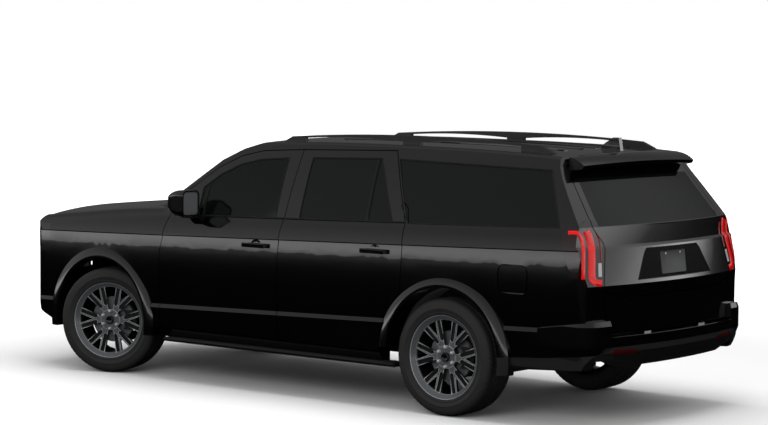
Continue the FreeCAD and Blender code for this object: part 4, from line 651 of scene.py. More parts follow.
def smooth_path(points: Sequence[Sequence[float]], steps: int) -> np.ndarray:
    """Run a Catmull-Rom curve through a few points.

    Between two points the curve is the cubic whose slope at each is half the step between its
    neighbours.

    Args:
        points: The points that the curve passes.
        steps: Samples between two points.

    Returns:
        The samples as rows.
    """
    knots = np.asarray(points, float)
    padded = np.concatenate((2 * knots[:1] - knots[1:2], knots, 2 * knots[-1:] - knots[-2:-1]))
    share = np.linspace(0.0, 1.0, steps, endpoint=False)[None, :, None]
    a, b, c, d = (padded[i:len(padded) - 3 + i, None, :] for i in range(4))
    curve = 0.5 * (2 * b + (c - a) * share + (2 * a - 5 * b + 4 * c - d) * share ** 2
                   + (3 * b - 3 * c + d - a) * share ** 3)
    return np.concatenate((curve.reshape(-1, knots.shape[1]), knots[-1:]))


def oval(width: float, height: float, steps: int = 10) -> np.ndarray:
    """Closed oval profile: half width * cos t and half height * sin t."""
    turn = turns(steps)
    return np.stack((width / 2 * np.cos(turn), height / 2 * np.sin(turn)), -1)


def project(points: np.ndarray, node: str, direction: Sequence[float]) -> np.ndarray:
    """Slide points along a direction until they meet the outer face of a CAD node.

    A point that misses the node takes the level of the nearest one that meets it.

    Args:
        points: Rows of x, y and z near the node.
        node: Name of the node.
        direction: Way into the node.

    Returns:
        The points on the node's surface.
    """
    turn = Vector(direction).to_track_quat("Z", "Y").to_matrix()
    way = np.asarray(Vector(direction).normalized())
    start = points - PROBE_REACH * way
    mesh = bpy.data.meshes.new("probe")
    mesh.from_pydata((start @ np.array(turn)).tolist(), [], [])
    probe = bpy.data.objects.new("probe", mesh)
    probe.matrix_world = turn.to_4x4()
    bpy.context.scene.collection.objects.link(probe)
    wrap = probe.modifiers.new("wrap", "SHRINKWRAP")
    wrap.wrap_method = "PROJECT"
    wrap.use_project_z = True
    wrap.use_positive_direction = True
    wrap.target = NODES[node]
    bpy.context.view_layer.update()
    found = probe.evaluated_get(bpy.context.evaluated_depsgraph_get())
    flat = np.empty(3 * len(points))
    found.data.vertices.foreach_get("co", flat)
    result = flat.reshape(-1, 3) @ np.array(turn).T
    bpy.data.objects.remove(probe)
    bpy.data.meshes.remove(mesh)
    met = (result - start) @ way > TOUCH
    if not met.any():
        raise ValueError(f"no point meets {node}")
    base = start - (start @ way)[:, None] * way
    gaps = np.linalg.norm(base[~met][:, None] - base[met][None], axis=2)
    if len(gaps):
        LOG.info("%d of %d points miss %s and take the level of their neighbours",
                 len(gaps), len(points), node)
        level = (result @ way)[met][gaps.argmin(1)]
        result[~met] = base[~met] + level[:, None] * way
    return result


def settle(shape: Shape, node: str, direction: Sequence[float], origin: Sequence[float]) -> Shape:
    """Lay a shape that was made on a plane over the curved face of a node.

    Each point keeps its height over the plane through the origin, square to the direction, as
    its height over the node.

    Args:
        shape: Shape made round that plane.
        node: Name of the node that carries it.
        direction: Way into the node.
        origin: A point of the plane.

    Returns:
        The settled shape.
    """
    way = np.asarray(Vector(direction).normalized())
    depth = (shape.points - np.asarray(origin)) @ way
    base = shape.points - depth[:, None] * way
    return Shape(project(base, node, direction) + depth[:, None] * way, shape.faces)


def piece(name: str, shape: Shape, finish: Surface, body: str,
          sharp_deg: float = SHARP_DEG) -> bpy.types.Object:
    """Make a mesh object of a shape, dress it and let it ride on a body.

    Args:
        name: Name of the piece.
        shape: Its points and faces.
        finish: Material that it wears.
        body: Body that carries it.
        sharp_deg: Edges that turn more than this stay sharp.

    Returns:
        The object.
    """
    mesh = bpy.data.meshes.new(name)
    mesh.from_pydata(shape.points.tolist(), [], shape.faces)
    work = bmesh.new()
    work.from_mesh(mesh)
    bmesh.ops.remove_doubles(work, verts=work.verts, dist=TOUCH)
    bmesh.ops.recalc_face_normals(work, faces=work.faces)
    work.to_mesh(mesh)
    work.free()
    mesh.polygons.foreach_set("use_smooth", [True] * len(mesh.polygons))
    mesh.set_sharp_from_angle(angle=math.radians(sharp_deg))
    mesh.materials.append(finish.material())
    made = bpy.data.objects.new(name, mesh)
    bpy.context.scene.collection.objects.link(made)
    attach(made, body)
    LOG.info("%s: %d faces on %s", name, len(mesh.polygons), body)
    return made


def pair(name: str, shape: Shape, finish: Surface, body: str,
         sharp_deg: float = SHARP_DEG) -> None:
    """Make a piece on both sides.

    Args:
        name: Name of the piece, with {} for the side.
        shape: The left-hand shape.
        finish: Material that both wear.
        body: Body that carries it, with {} for the side if there are two.
        sharp_deg: Edges that turn more than this stay sharp.
    """
    for side in Side:
        piece(name.format(side.word), shape.on(side), finish, body.format(side.word),
              sharp_deg)


@dataclass
class Bodywork:
    """Finishes of the CAD nodes that stay in view."""

    table: Dict[str, Tuple[str, ...]] = field(default_factory=lambda: {
        "paint": ("front_left_door", "front_right_door", "rear_left_door", "rear_right_door",
                  "bonnet", "liftgate", "drop_gate", "fuel_flap", "front_wings",
                  "quarter_panels", "roof_panel", "body_pillars", "sills", "front_bumper",
                  "rear_bumper", "left_mirror", "right_mirror"),
        "cladding": ("grille", "rear_valance", "running_boards", "cowl_panel"),
        "rail": ("roof_rails",),
        "iron": ("chassis_frame", "suspension", "left_knuckle", "right_knuckle", "exhaust",
                 "engine"),
        "carpet": ("floor_pan",), "dash": ("dashboard",),
        "smoked": ("tail_lamps",), "reflex": ("rear_reflectors",),
        "lamp_clear": ("headlamps",),
        "clear": ("front_left_window", "front_right_window", "windscreen"),
        "privacy": ("rear_left_window", "rear_right_window", "quarter_windows",
                    "rear_window"),
    })

    def dress(self) -> None:
        """Give each CAD node in the table its finish."""
        for finish, nodes in self.table.items():
            material = getattr(Finishes, finish).material()
            for node in nodes:
                mesh = NODES[node].data
                mesh.materials.clear()
                mesh.materials.append(material)
            LOG.info("%s on %s", finish, ", ".join(nodes))


@dataclass
class Wheel:
    """One wheel with its tyre: tread, side wall, centre cap and nuts.

    Everything is made for a left wheel that points straight ahead, with x and z from its axle
    and y from the middle plane, and then placed.
    """

    end: str
    side: Side
    axle_x: float
    steer_deg: float
    axle_z: float = 0.4076
    kingpin_y: float = 0.818
    centre_y: float = 0.854
    radius: float = 0.4076
    wall: Places = (
        (0.2903, 0.125), (0.2960, 0.1305), (0.3020, 0.1325), (0.3045, 0.1352),
        (0.3080, 0.1352), (0.3105, 0.1330), (0.3200, 0.1375), (0.3330, 0.1405),
        (0.3360, 0.1418), (0.3400, 0.1418), (0.3430, 0.1405), (0.3560, 0.1398),
        (0.3680, 0.1378), (0.3790, 0.1348), (0.3880, 0.1306), (0.3950, 0.1255),
        (0.4000, 0.1195))
    tread_half: float = 0.1085
    tread_points: int = 38
    crown_drop: float = 0.0035
    pitches: int = 72
    steps_per_pitch: int = 6
    groove_offsets: Tuple[float, ...] = (-0.071, -0.026, 0.026, 0.071)
    groove_depth: float = 0.0075
    groove_half: float = 0.0048
    groove_radius: float = 0.398
    cut_depth: float = 0.0045
    cut_radius: float = 0.387
    cut_slant: float = 0.013
    rib_half: float = 0.030
    face_y: float = 0.949
    cap_steps: int = 48
    cap_profile: Places = (
        (0.0, 0.0155), (0.012, 0.0157), (0.021, 0.0168), (0.0245, 0.0185), (0.0275, 0.0185),
        (0.0300, 0.0170), (0.0335, 0.0135), (0.0345, 0.0080), (0.0345, 0.0), (0.0, 0.0))
    nut_circle: float = 0.0675
    nut_count: int = 6
    nut_half: float = 0.0112
    nut_steps: int = 24
    nut_sections: Tuple[Spot, ...] = (
        (1.0, -0.012, 0.0), (1.0, 0.0, 0.0), (1.0, 0.0148, 0.2), (0.86, 0.0178, 0.7),
        (0.60, 0.0196, 1.0), (0.28, 0.0204, 1.0))
    valve_circle: float = 0.2440
    valve_foot: float = 0.040
    valve_steps: int = 16
    valve_profile: Places = (
        (0.0, 0.0), (0.0058, 0.0), (0.0058, 0.012), (0.0040, 0.016), (0.0040, 0.030),
        (0.0052, 0.031), (0.0052, 0.040), (0.0, 0.042))
    face_mm: float = 937.5
    disc_mm: float = 178.0
    disc_face_mm: float = 897.0

    @property
    def name(self) -> str:
        """Name of the wheel as its CAD nodes have it."""
        return f"{self.end}_{self.side.word}"

    def place(self, shape: Shape) -> Shape:
        """Put a left-hand straight-ahead shape where this wheel stands."""
        shape = shape.on(self.side).moved((self.axle_x, 0.0, self.axle_z))
        return shape.turned("Z", self.steer_deg,
                            (self.axle_x, self.side.value * self.kingpin_y, 0.0))

    def tyre_profile(self) -> np.ndarray:
        """Rows of radius and y: outer bead, side wall, tread, inner wall, inner bead."""
        wall = np.array(self.wall)
        across = np.linspace(self.tread_half, -self.tread_half, self.tread_points)
        crown = self.radius - self.crown_drop * (across / self.tread_half) ** 4
        whole = np.concatenate((wall, np.stack((crown, across), -1), wall[::-1] * (1.0, -1.0)))
        return whole + (0.0, self.centre_y)

    def tyre(self) -> Shape:
        """Turned tyre whose radius drops in four grooves and in slanted cross cuts.

        The radius is the profile's, less the groove depth inside a groove, less the cut depth
        where the angle, moved on by a slant that grows with y, falls in the last sixth of a
        pitch outside the middle rib.
        """
        profile = self.tyre_profile()
        offset = profile[:, 1] - self.centre_y
        nearest = np.min(np.abs(offset[:, None] - np.array(self.groove_offsets)), 1)
        grooved = (nearest < self.groove_half) & (profile[:, 0] > self.groove_radius)
        count = self.pitches * self.steps_per_pitch
        step = np.arange(count)[:, None]
        slant = np.round(np.abs(offset) / self.cut_slant).astype(int)
        cut = ((step + slant) % self.steps_per_pitch == 0) & (profile[:, 0] > self.cut_radius)
        cut &= np.abs(offset) > self.rib_half
        radius = profile[:, 0] - np.where(grooved, self.groove_depth,
                                          np.where(cut, self.cut_depth, 0.0))
        turn = 2.0 * math.pi * step / count
        points = np.stack((radius * np.cos(turn), np.broadcast_to(profile[:, 1], radius.shape),
                           radius * np.sin(turn)), -1)
        return Shape.grid(points, wrap_u=True, wrap_v=True)

    def cap(self) -> Shape:
        """Domed centre cap with a rolled edge and a shallow dished middle."""
        return Shape.lathe(self.cap_profile, self.cap_steps).moved((0.0, self.face_y, 0.0))

    def nuts(self) -> Shape:
        """Domed nuts on the bolt circle, each six-sided at its foot and round at its top.

        A row of nut_sections is the share of the size, the height over the face and the
        roundness.
        """
        turn = turns(self.nut_steps)
        flat = self.nut_half / np.cos((turn + math.pi / 6) % (math.pi / 3) - math.pi / 6)
        share, rise, roundness = np.array(self.nut_sections).T[:, :, None]
        size = share * (flat * (1 - roundness) + self.nut_half * roundness)
        ring = np.stack((size * np.cos(turn), np.broadcast_to(self.face_y + rise, size.shape),
                         size * np.sin(turn)), -1)
        nut = Shape.grid(ring, wrap_v=True, caps=True)
        angles = 2.0 * math.pi * (np.arange(self.nut_count) + 0.5) / self.nut_count
        return Shape.joined(nut.moved((self.nut_circle * math.cos(a), 0.0,
                                       self.nut_circle * math.sin(a))) for a in angles)

    def valve(self) -> Shape:
        """Rubber valve with its cap, standing off the barrel between two forks."""
        shape = Shape.lathe(self.valve_profile, self.valve_steps)
        return shape.moved((self.valve_circle, self.face_y - self.valve_foot, 0.0))

    def build(self) -> None:
        """Build the tyre, cap, nuts and valve and dress the CAD wheel."""
        body = f"{self.name}_wheel"
        tyre = piece(f"{self.name}_tyre_tread", self.place(self.tyre()), Finishes.rubber, body,
                     sharp_deg=50.0)
        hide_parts(f"{self.name}_tyre")
        piece(f"{self.name}_wheel_cap", self.place(self.cap()), Finishes.cap, body)
        piece(f"{self.name}_wheel_nuts", self.place(self.nuts()), Finishes.zinc, body)
        piece(f"{self.name}_tyre_valve", self.place(self.valve()), Finishes.seal, body)
        steered = self.kingpin_y * self.side.value if self.steer_deg else 0.0
        alloy = Machined(f"alloy_cast_dark_turned_face_{self.name}", "#3a3c3e",
                         self.face_mm, self.disc_mm, self.disc_face_mm,
                         (self.axle_x, steered), self.steer_deg, (self.axle_x, self.axle_z))
        mesh = NODES[f"{self.name}_wheel"].data
        mesh.materials.clear()
        mesh.materials.append(alloy.material())


@dataclass
class TailLamps:
    """Light guides, dotted strip and reversing lamp on the smoked rear lamps.

    The guides are drawn on a plane that faces the lamp's corner, square to way: the first
    number runs across it, positive towards the gate, and the second is the height over the
    ground. They are then settled on the curved lens.
    """

    way: Spot = (0.562, -0.823, -0.087)
    centre: Tuple[float, float] = (-2.620, 0.920)
    plane_z: float = 1.15
    proud: float = 0.004
    section: Places = (
        (-1.0, -0.6), (-1.0, 0.35), (-0.82, 0.8), (-0.4, 1.0), (0.0, 1.05), (0.4, 1.0),
        (0.82, 0.8), (1.0, 0.35), (1.0, -0.6))
    route_steps: int = 8
    outer: Places = (
        (-0.104, 1.319), (-0.060, 1.320), (-0.034, 1.310), (-0.015, 1.278), (-0.005, 1.235),
        (-0.001, 1.170), (-0.001, 1.095), (-0.002, 1.012))
    outer_half: float = 0.0125
    main: Places = (
        (0.014, 1.332), (0.031, 1.298), (0.045, 1.250), (0.053, 1.200), (0.055, 1.128),
        (0.055, 1.055), (0.062, 1.013), (0.086, 0.992), (0.122, 0.986))
    main_half: float = 0.0235
    dots: Places = (
        (0.082, 1.318), (0.101, 1.276), (0.112, 1.206), (0.116, 1.140))
    dots_half: float = 0.004
    white: Places = ((0.107, 1.122), (0.109, 1.075), (0.110, 1.032))
    white_half: float = 0.0115

    def ribbon(self, route: Sequence[Sequence[float]], half: float, rise: float) -> Shape:
        """Rounded strip along a route, with its thickness towards the viewer.

        Args:
            route: Points across and up on the lamp's plane.
            half: Half of the strip's width.
            rise: Height over the lens.

        Returns:
            The strip on the left lamp.
        """
        flat = smooth_path(route, self.route_steps)
        across = np.array((self.way[1], -self.way[0], 0.0))
        across = across / np.linalg.norm(across)
        path = flat[:, :1] * across + flat[:, 1:] * (0.0, 0.0, 1.0) + (*self.centre, 0.0)
        origin = np.array((*self.centre, self.plane_z))
        way = np.asarray(Vector(self.way).normalized())
        path = path - ((path - origin) @ way)[:, None] * way
        strip = Shape.tube(path, np.array(self.section) * (half, rise), -way)
        return settle(strip, "tail_lamps", self.way, origin)

    def build(self) -> None:
        """Build the strips of both lamps."""
        strips = (("rear_lamp_outer_guide", self.outer, self.outer_half, Finishes.lamp_red),
                  ("rear_lamp_main_guide", self.main, self.main_half, Finishes.lamp_red),
                  ("rear_lamp_dotted_guide", self.dots, self.dots_half, Finishes.lamp_dots),
                  ("reversing_lamp", self.white, self.white_half, Finishes.lamp_white))
        for name, route, half, finish in strips:
            pair("{}_" + name, self.ribbon(route, half, self.proud), finish, "body")


@dataclass
class NumberPlate:
    """Blank plate on the slanted floor of its recess, with two screws.

    The floor runs from top down to low, both places (x, z).
    """

    width: float = 0.305
    height: float = 0.152
    corner: float = 0.012
    thickness: float = 0.0022
    gap: float = 0.0006
    rim: float = 0.005
    rim_corner: float = 0.008
    field_share: float = 0.985
    field_depth: float = 0.0007
    centre_z: float = 1.082
    top: Tuple[float, float] = (-2.712, 1.192)
    low: Tuple[float, float] = (-2.738, 0.986)
    screw_reach: float = 0.090
    screw_rise: float = 0.058
    screw_steps: int = 24
    screw_profile: Places = (
        (0.0, 0.0), (0.0075, 0.0), (0.0075, 0.0022), (0.0062, 0.0036), (0.0030, 0.0042),
        (0.0, 0.0042))

    def frame(self) -> Tuple[np.ndarray, np.ndarray, np.ndarray]:
        """Centre of the plate, its upward and its outward direction."""
        up = np.array((self.top[0] - self.low[0], 0.0, self.top[1] - self.low[1]))
        up = up / np.linalg.norm(up)
        out = np.array((-up[2], 0.0, up[0]))
        share = (self.centre_z - self.low[1]) / (self.top[1] - self.low[1])
        x = self.low[0] + share * (self.top[0] - self.low[0])
        return np.array((x, 0.0, self.centre_z)), up, out

    def build(self) -> None:
        """Build the plate and its screws on the gate."""
        centre, up, out = self.frame()
        edge = rounded(self.width, self.height, self.corner)
        rim = rounded(self.width - 2 * self.rim, self.height - 2 * self.rim, self.rim_corner)
        levels = ((edge, 0.0), (edge, self.thickness), (rim, self.thickness),
                  (rim * self.field_share, self.thickness - self.field_depth))
        rings = [centre + rows[:, :1] * (0.0, 1.0, 0.0) + rows[:, 1:] * up
                 + out * (self.gap + lift) for rows, lift in levels]
        sheet = Shape.grid(np.stack(rings), wrap_v=True, caps=True)
        piece("blank_plate", sheet, Finishes.plate, "liftgate")
        head = Shape.lathe(self.screw_profile, self.screw_steps)
        turn = np.stack((up, out, np.cross(up, out)), -1)
        head = Shape(head.points @ turn.T, head.faces)
        seat = centre + out * (self.gap + self.thickness) + up * self.screw_rise
        screws = [head.moved(seat + (0.0, side.value * self.screw_reach, 0.0)) for side in Side]
        piece("plate_screws", Shape.joined(screws), Finishes.zinc, "liftgate")


@dataclass
class Glazing:
    """Seals, belt mouldings and the dividing bars of the side windows.

    Every route is a list of (x, z) places in the side view, laid on the outer face of its
    panel.
    """

    front_window: Places = (
        (0.840, 1.262), (0.840, 1.473), (0.693, 1.577), (0.514, 1.659), (0.318, 1.700),
        (0.057, 1.717), (0.057, 1.279))
    rear_window: Places = (
        (-0.168, 1.284), (-0.168, 1.727), (-0.815, 1.743), (-1.037, 1.306))
    quarter_window: Places = (
        (-0.967, 1.743), (-1.172, 1.308), (-2.432, 1.341), (-2.266, 1.713))
    divider: Places = ((-0.800, 1.297), (-0.797, 1.450),
                                                (-0.792, 1.600), (-0.788, 1.733))
    front_bar: Places = ((0.792, 1.272), (0.790, 1.400), (0.786, 1.498))
    belts: Tuple[Tuple[str, float, float], ...] = (("front", 1.085, -0.014),
                                                   ("rear", -0.040, -1.135))
    seal_width: float = 0.010
    seal_height: float = 0.005
    seal_steps: int = 14
    divider_width: float = 0.024
    front_bar_width: float = 0.020
    bar_height: float = 0.009
    bar_lift: float = 0.0035
    bar_steps: int = 6
    belt_width: float = 0.015
    belt_height: float = 0.011
    belt_lift: float = 0.001
    belt_points: int = 40
    belt_base: float = 1.230
    belt_slope: float = 0.0252
    belt_start: float = 2.188
    reach: float = 1.2

    def laid(self, route: np.ndarray, node: str, lift: float = 0.0) -> np.ndarray:
        """Put (x, z) places on the outer left face of a node."""
        return project(in_space(route, 1, self.reach), node, (0, -1, 0)) + (0.0, lift, 0.0)

    def ring(self, outline: Sequence[Sequence[float]], node: str) -> Shape:
        """Seal round a window: a flat oval carried along its outline."""
        corners = np.asarray(outline)
        share = np.linspace(0.0, 1.0, self.seal_steps, endpoint=False)[None, :, None]
        route = (corners[:, None] + share * (np.roll(corners, -1, 0) - corners)[:, None])
        path = self.laid(route.reshape(-1, 2), node)
        return Shape.tube(path, oval(self.seal_width, self.seal_height, CORD_STEPS), (0, 1, 0),
                          wrap=True)

    def bar(self, route: Sequence[Sequence[float]], node: str, width: float) -> Shape:
        """Upright bar over the glass between two seals."""
        path = self.laid(smooth_path(route, self.bar_steps), node, self.bar_lift)
        return Shape.tube(path, oval(width, self.bar_height), (0, 1, 0))

    def belt(self, node: str, front: float, rear: float) -> Shape:
        """Moulding below the glass: an oval carried along the belt line.

        The line rises by the same slope as the crease below it.
        """
        x = np.linspace(front, rear, self.belt_points)
        z = self.belt_base + (self.belt_start - x) * self.belt_slope
        path = self.laid(np.stack((x, z), -1), node, self.belt_lift)
        return Shape.tube(path, oval(self.belt_width, self.belt_height), (0, 1, 0))

    def build(self) -> None:
        """Build the seals, bars and mouldings on both sides."""
        for side in Side:
            front, rear = f"front_{side.word}", f"rear_{side.word}"
            for end, outline, name in (("front", self.front_window, front),
                                       ("rear", self.rear_window, rear)):
                seal = self.ring(outline, f"{end}_left_door").on(side)
                piece(f"{name}_window_seal", seal, Finishes.seal, f"{name}_door")
            quarter = self.ring(self.quarter_window, "quarter_panels").on(side)
            piece(f"{side.word}_quarter_seal", quarter, Finishes.seal, "body")
            divider = self.bar(self.divider, "rear_left_window", self.divider_width).on(side)
            piece(f"{rear}_window_bar", divider, Finishes.piano, f"{rear}_door")
            sail = self.bar(self.front_bar, "front_left_window", self.front_bar_width).on(side)
            piece(f"{front}_window_bar", sail, Finishes.piano, f"{front}_door")
            for end, start, stop in self.belts:
                belt = self.belt(f"{end}_left_door", start, stop).on(side)
                door = f"{end}_{side.word}_door"
                piece(f"{door}_belt", belt, Finishes.seal, door)


@dataclass
class Handles:
    """Dished cups behind the pull bars of the doors."""

    places: Tuple[Tuple[str, float, float], ...] = (("front", 0.213, 1.081),
                                                   ("rear", -0.910, 1.105))
    cup_width: float = 0.104
    cup_height: float = 0.092
    cup_rise: float = 0.0022
    cup_steps: int = 48
    bowl: Places = ((0.0, 0.25), (0.3, 0.28), (0.6, 0.40), (0.8, 0.75), (0.88, 1.0),
                    (0.93, 1.0), (0.97, 0.7), (1.0, -0.5))

    def cup(self, end: str, x: float, z: float) -> Shape:
        """Oval rim round a shallow bowl.

        A row of bowl is a share of the radius and one of the height over the skin: the rim
        stands highest, the middle is a quarter of that and the edge goes into the skin.
        """
        shape = Shape.lathe(np.array(self.bowl) * (1.0, self.cup_rise), self.cup_steps)
        shape = shape.scaled((self.cup_width / 2, 1.0, self.cup_height / 2))
        return settle(shape.moved((x, 0.0, z)), f"{end}_left_door", (0, -1, 0), (x, 0.0, z))

    def build(self) -> None:
        """Build the cups of all four doors."""
        for end, x, z in self.places:
            pair(end + "_{}_handle_cup", self.cup(end, x, z), Finishes.piano,
                 end + "_{}_door")


@dataclass
class MirrorGlass:
    """Silvered glass in the recess of each door mirror."""

    x: float = 0.7805
    centre_y: float = 1.100
    centre_z: float = 1.364
    width: float = 0.154
    height: float = 0.170
    corner: float = 0.028
    corner_steps: int = 8
    bow: Places = ((1.0, 0.0), (1.0, 0.0016), (0.97, 0.0022), (0.7, 0.0028), (0.4, 0.0032),
                   (0.1, 0.0034))

    def build(self) -> None:
        """Build the glasses: sheets that bow to the rear, by share of the outline and lift."""
        flat = rounded(self.width, self.height, self.corner, self.corner_steps)
        rings = [in_space(flat * share + (self.centre_y, self.centre_z), 0, self.x - lift)
                 for share, lift in self.bow]
        glass = Shape.grid(np.stack(rings), wrap_v=True, caps=True)
        pair("{}_mirror_glass", glass, Finishes.mirror, "front_{}_door")


@dataclass
class Headlamps:
    """Daytime guide and three lenses on the smoked front lamps, drawn on (y, z)."""

    guide: Places = (
        (0.612, 1.098), (0.700, 1.099), (0.800, 1.098), (0.868, 1.092), (0.893, 1.070),
        (0.897, 1.030), (0.896, 0.985), (0.890, 0.935))
    guide_width: float = 0.022
    guide_height: float = 0.008
    guide_steps: int = 6
    lenses: Places = ((0.650, 1.015), (0.730, 1.015), (0.810, 1.015))
    lens_steps: int = 32
    lens_profile: Places = ((0.0, 0.008), (0.012, 0.0075), (0.022, 0.0055), (0.031, 0.001),
                            (0.031, -0.002))
    way: Spot = (-1.0, 0.0, 0.0)
    face_x: float = 2.70

    def build(self) -> None:
        """Build the guides and the lenses, settled on the lamp's face from the front."""
        origin = (self.face_x, 0.0, 0.0)
        path = in_space(smooth_path(self.guide, self.guide_steps), 0, self.face_x)
        guide = Shape.tube(path, oval(self.guide_width, self.guide_height), (1, 0, 0))
        guide = settle(guide, "headlamps", self.way, origin)
        bulb = Shape.lathe(self.lens_profile, self.lens_steps).turned("Z", -90.0)
        lenses = Shape.joined(bulb.moved((self.face_x, y, z)) for y, z in self.lenses)
        lenses = settle(lenses, "headlamps", self.way, origin)
        for side in Side:
            for name, shape, finish in (("daytime_guide", guide, Finishes.lamp_day),
                                        ("headlamp_lenses", lenses, Finishes.lamp_white)):
                piece(f"{side.word}_{name}", shape.on(side), finish, "body")


@dataclass
class Steps:
    """Ribbed rubber tread on each running board."""

    front: float = 1.120
    rear: float = -1.045
    low_y: float = 0.885
    high_y: float = 0.978
    top_z: float = 0.3298
    ribs: int = 120
    rise: float = 0.0026
    low_share: float = 0.3
    sunk: float = 0.002

    def build(self) -> None:
        """Build the treads: a sheet whose height is a square wave along the vehicle."""
        x = np.linspace(self.front, self.rear, 4 * self.ribs)
        wave = np.where(np.arange(len(x)) // 2 % 2 == 0, 1.0, self.low_share) * self.rise
        y = np.array((self.low_y, self.low_y, self.high_y, self.high_y))
        foot = np.full(len(x), -self.sunk)
        lift = np.stack((foot, wave, wave, foot), -1)
        points = np.stack((np.broadcast_to(x[:, None], lift.shape),
                           np.broadcast_to(y[None, :], lift.shape), self.top_z + lift), -1)
        tread = Shape.grid(points, wrap_v=True, caps=True)
        pair("{}_step_tread", tread, Finishes.rubber, "body", sharp_deg=20.0)


@dataclass
class Wipers:
    """Windscreen wipers parked along the foot of the glass."""

    arms: Tuple[Places, ...] = (
        ((1.352, 0.560), (1.338, 0.430), (1.322, 0.250), (1.312, 0.080)),
        ((1.356, -0.060), (1.342, -0.190), (1.326, -0.370), (1.316, -0.540)))
    route_steps: int = 8
    start_z: float = 1.6
    way: Spot = (-0.35, 0.0, -1.0)
    out: Spot = (0.55, 0.0, 0.83)
    blade_rise: float = 0.004
    blade_size: Tuple[float, float] = (0.014, 0.010)
    arm_rise: float = 0.014
    arm_size: Tuple[float, float] = (0.018, 0.008)
    arm_share: float = 0.75
    tip_share: float = 0.2
    fall: float = 0.3

    def build(self) -> None:
        """Build arm and blade of both wipers over the screen, seen from above.

        The arm comes down to the blade towards its tip, by a power of what is left of it.
        """
        out = np.asarray(self.out)
        for count, route in enumerate(self.arms, start=1):
            start = in_space(smooth_path(route, self.route_steps), 2, self.start_z)
            path = project(start, "windscreen", self.way)
            blade = Shape.tube(path + out * self.blade_rise,
                               oval(*self.blade_size, CORD_STEPS), out)
            left = np.linspace(1.0, self.tip_share, len(path))[:, None] ** self.fall
            end = int(len(path) * self.arm_share)
            arm = Shape.tube((path + out * self.arm_rise * left)[:end],
                             oval(*self.arm_size, CORD_STEPS), out)
            piece(f"wiper_{count}", Shape.joined((blade, arm)), Finishes.seal, "body")


@dataclass
class Pad:
    """Stuffed cushion: a superellipsoid drawn in along sewn channels.

    The surface is x = a c(u) c(v), y = b c(u) s(v), z = c s(u), each sine and cosine raised
    to a power under 1 that squares the form. The upper face rises in crowns between channels.
    """

    size: Spot
    squareness: float = 0.34
    roll: float = 0.55
    channels: Tuple[float, ...] = ()
    channel_depth: float = 0.011
    channel_half: float = 0.012
    crown: float = 0.10
    rows: int = 33
    columns: int = 96
    cord: float = 0.0042
    cord_points: int = 120
    cord_gap: float = 1e-4

    @staticmethod
    def power(value: np.ndarray, exponent: float) -> np.ndarray:
        """Raise the size of a value to a power and keep its sign."""
        return np.sign(value) * np.abs(value) ** exponent

    def surface(self) -> Shape:
        """Closed skin of the pad about the origin, its face towards +Z."""
        rise = np.linspace(-math.pi / 2, math.pi / 2, self.rows)[:, None]
        turn = turns(self.columns)[None, :]
        a, b, c = (length / 2 for length in self.size)
        girth = self.power(np.cos(rise), self.roll)
        x = a * girth * self.power(np.cos(turn), self.squareness)
        y = b * girth * self.power(np.sin(turn), self.squareness)
        z = c * self.power(np.sin(rise), self.roll) + 0.0 * turn
        top = np.clip(z / c, 0.0, 1.0)
        z = z + top * self.crown * c * np.cos(x / a * math.pi / 2) * np.cos(y / b * math.pi / 2)
        for place in self.channels:
            z = z - top * self.channel_depth * np.exp(-((y / b - place) * b
                                                        / self.channel_half) ** 2)
        return Shape.grid(np.stack((x, y, z), -1), wrap_v=True, caps=True)

    def piping(self, height: float = 0.35) -> Shape:
        """Sewn edge: a thin cord round the pad at a share of its half height."""
        turn = turns(self.cord_points)
        a, b, c = (length / 2 for length in self.size)
        lean = math.asin(height ** (1 / self.roll))
        girth = math.cos(lean) ** self.roll
        rows = np.stack((a * girth * self.power(np.cos(turn), self.squareness),
                         b * girth * self.power(np.sin(turn), self.squareness)), -1)
        path = in_space(rows, 2, c * height)
        step = np.linalg.norm(np.diff(path, axis=0, append=path[:1]), axis=1)
        return Shape.tube(path[step > self.cord_gap], oval(self.cord, self.cord, CORD_STEPS),
                          (0, 0, 1), wrap=True)


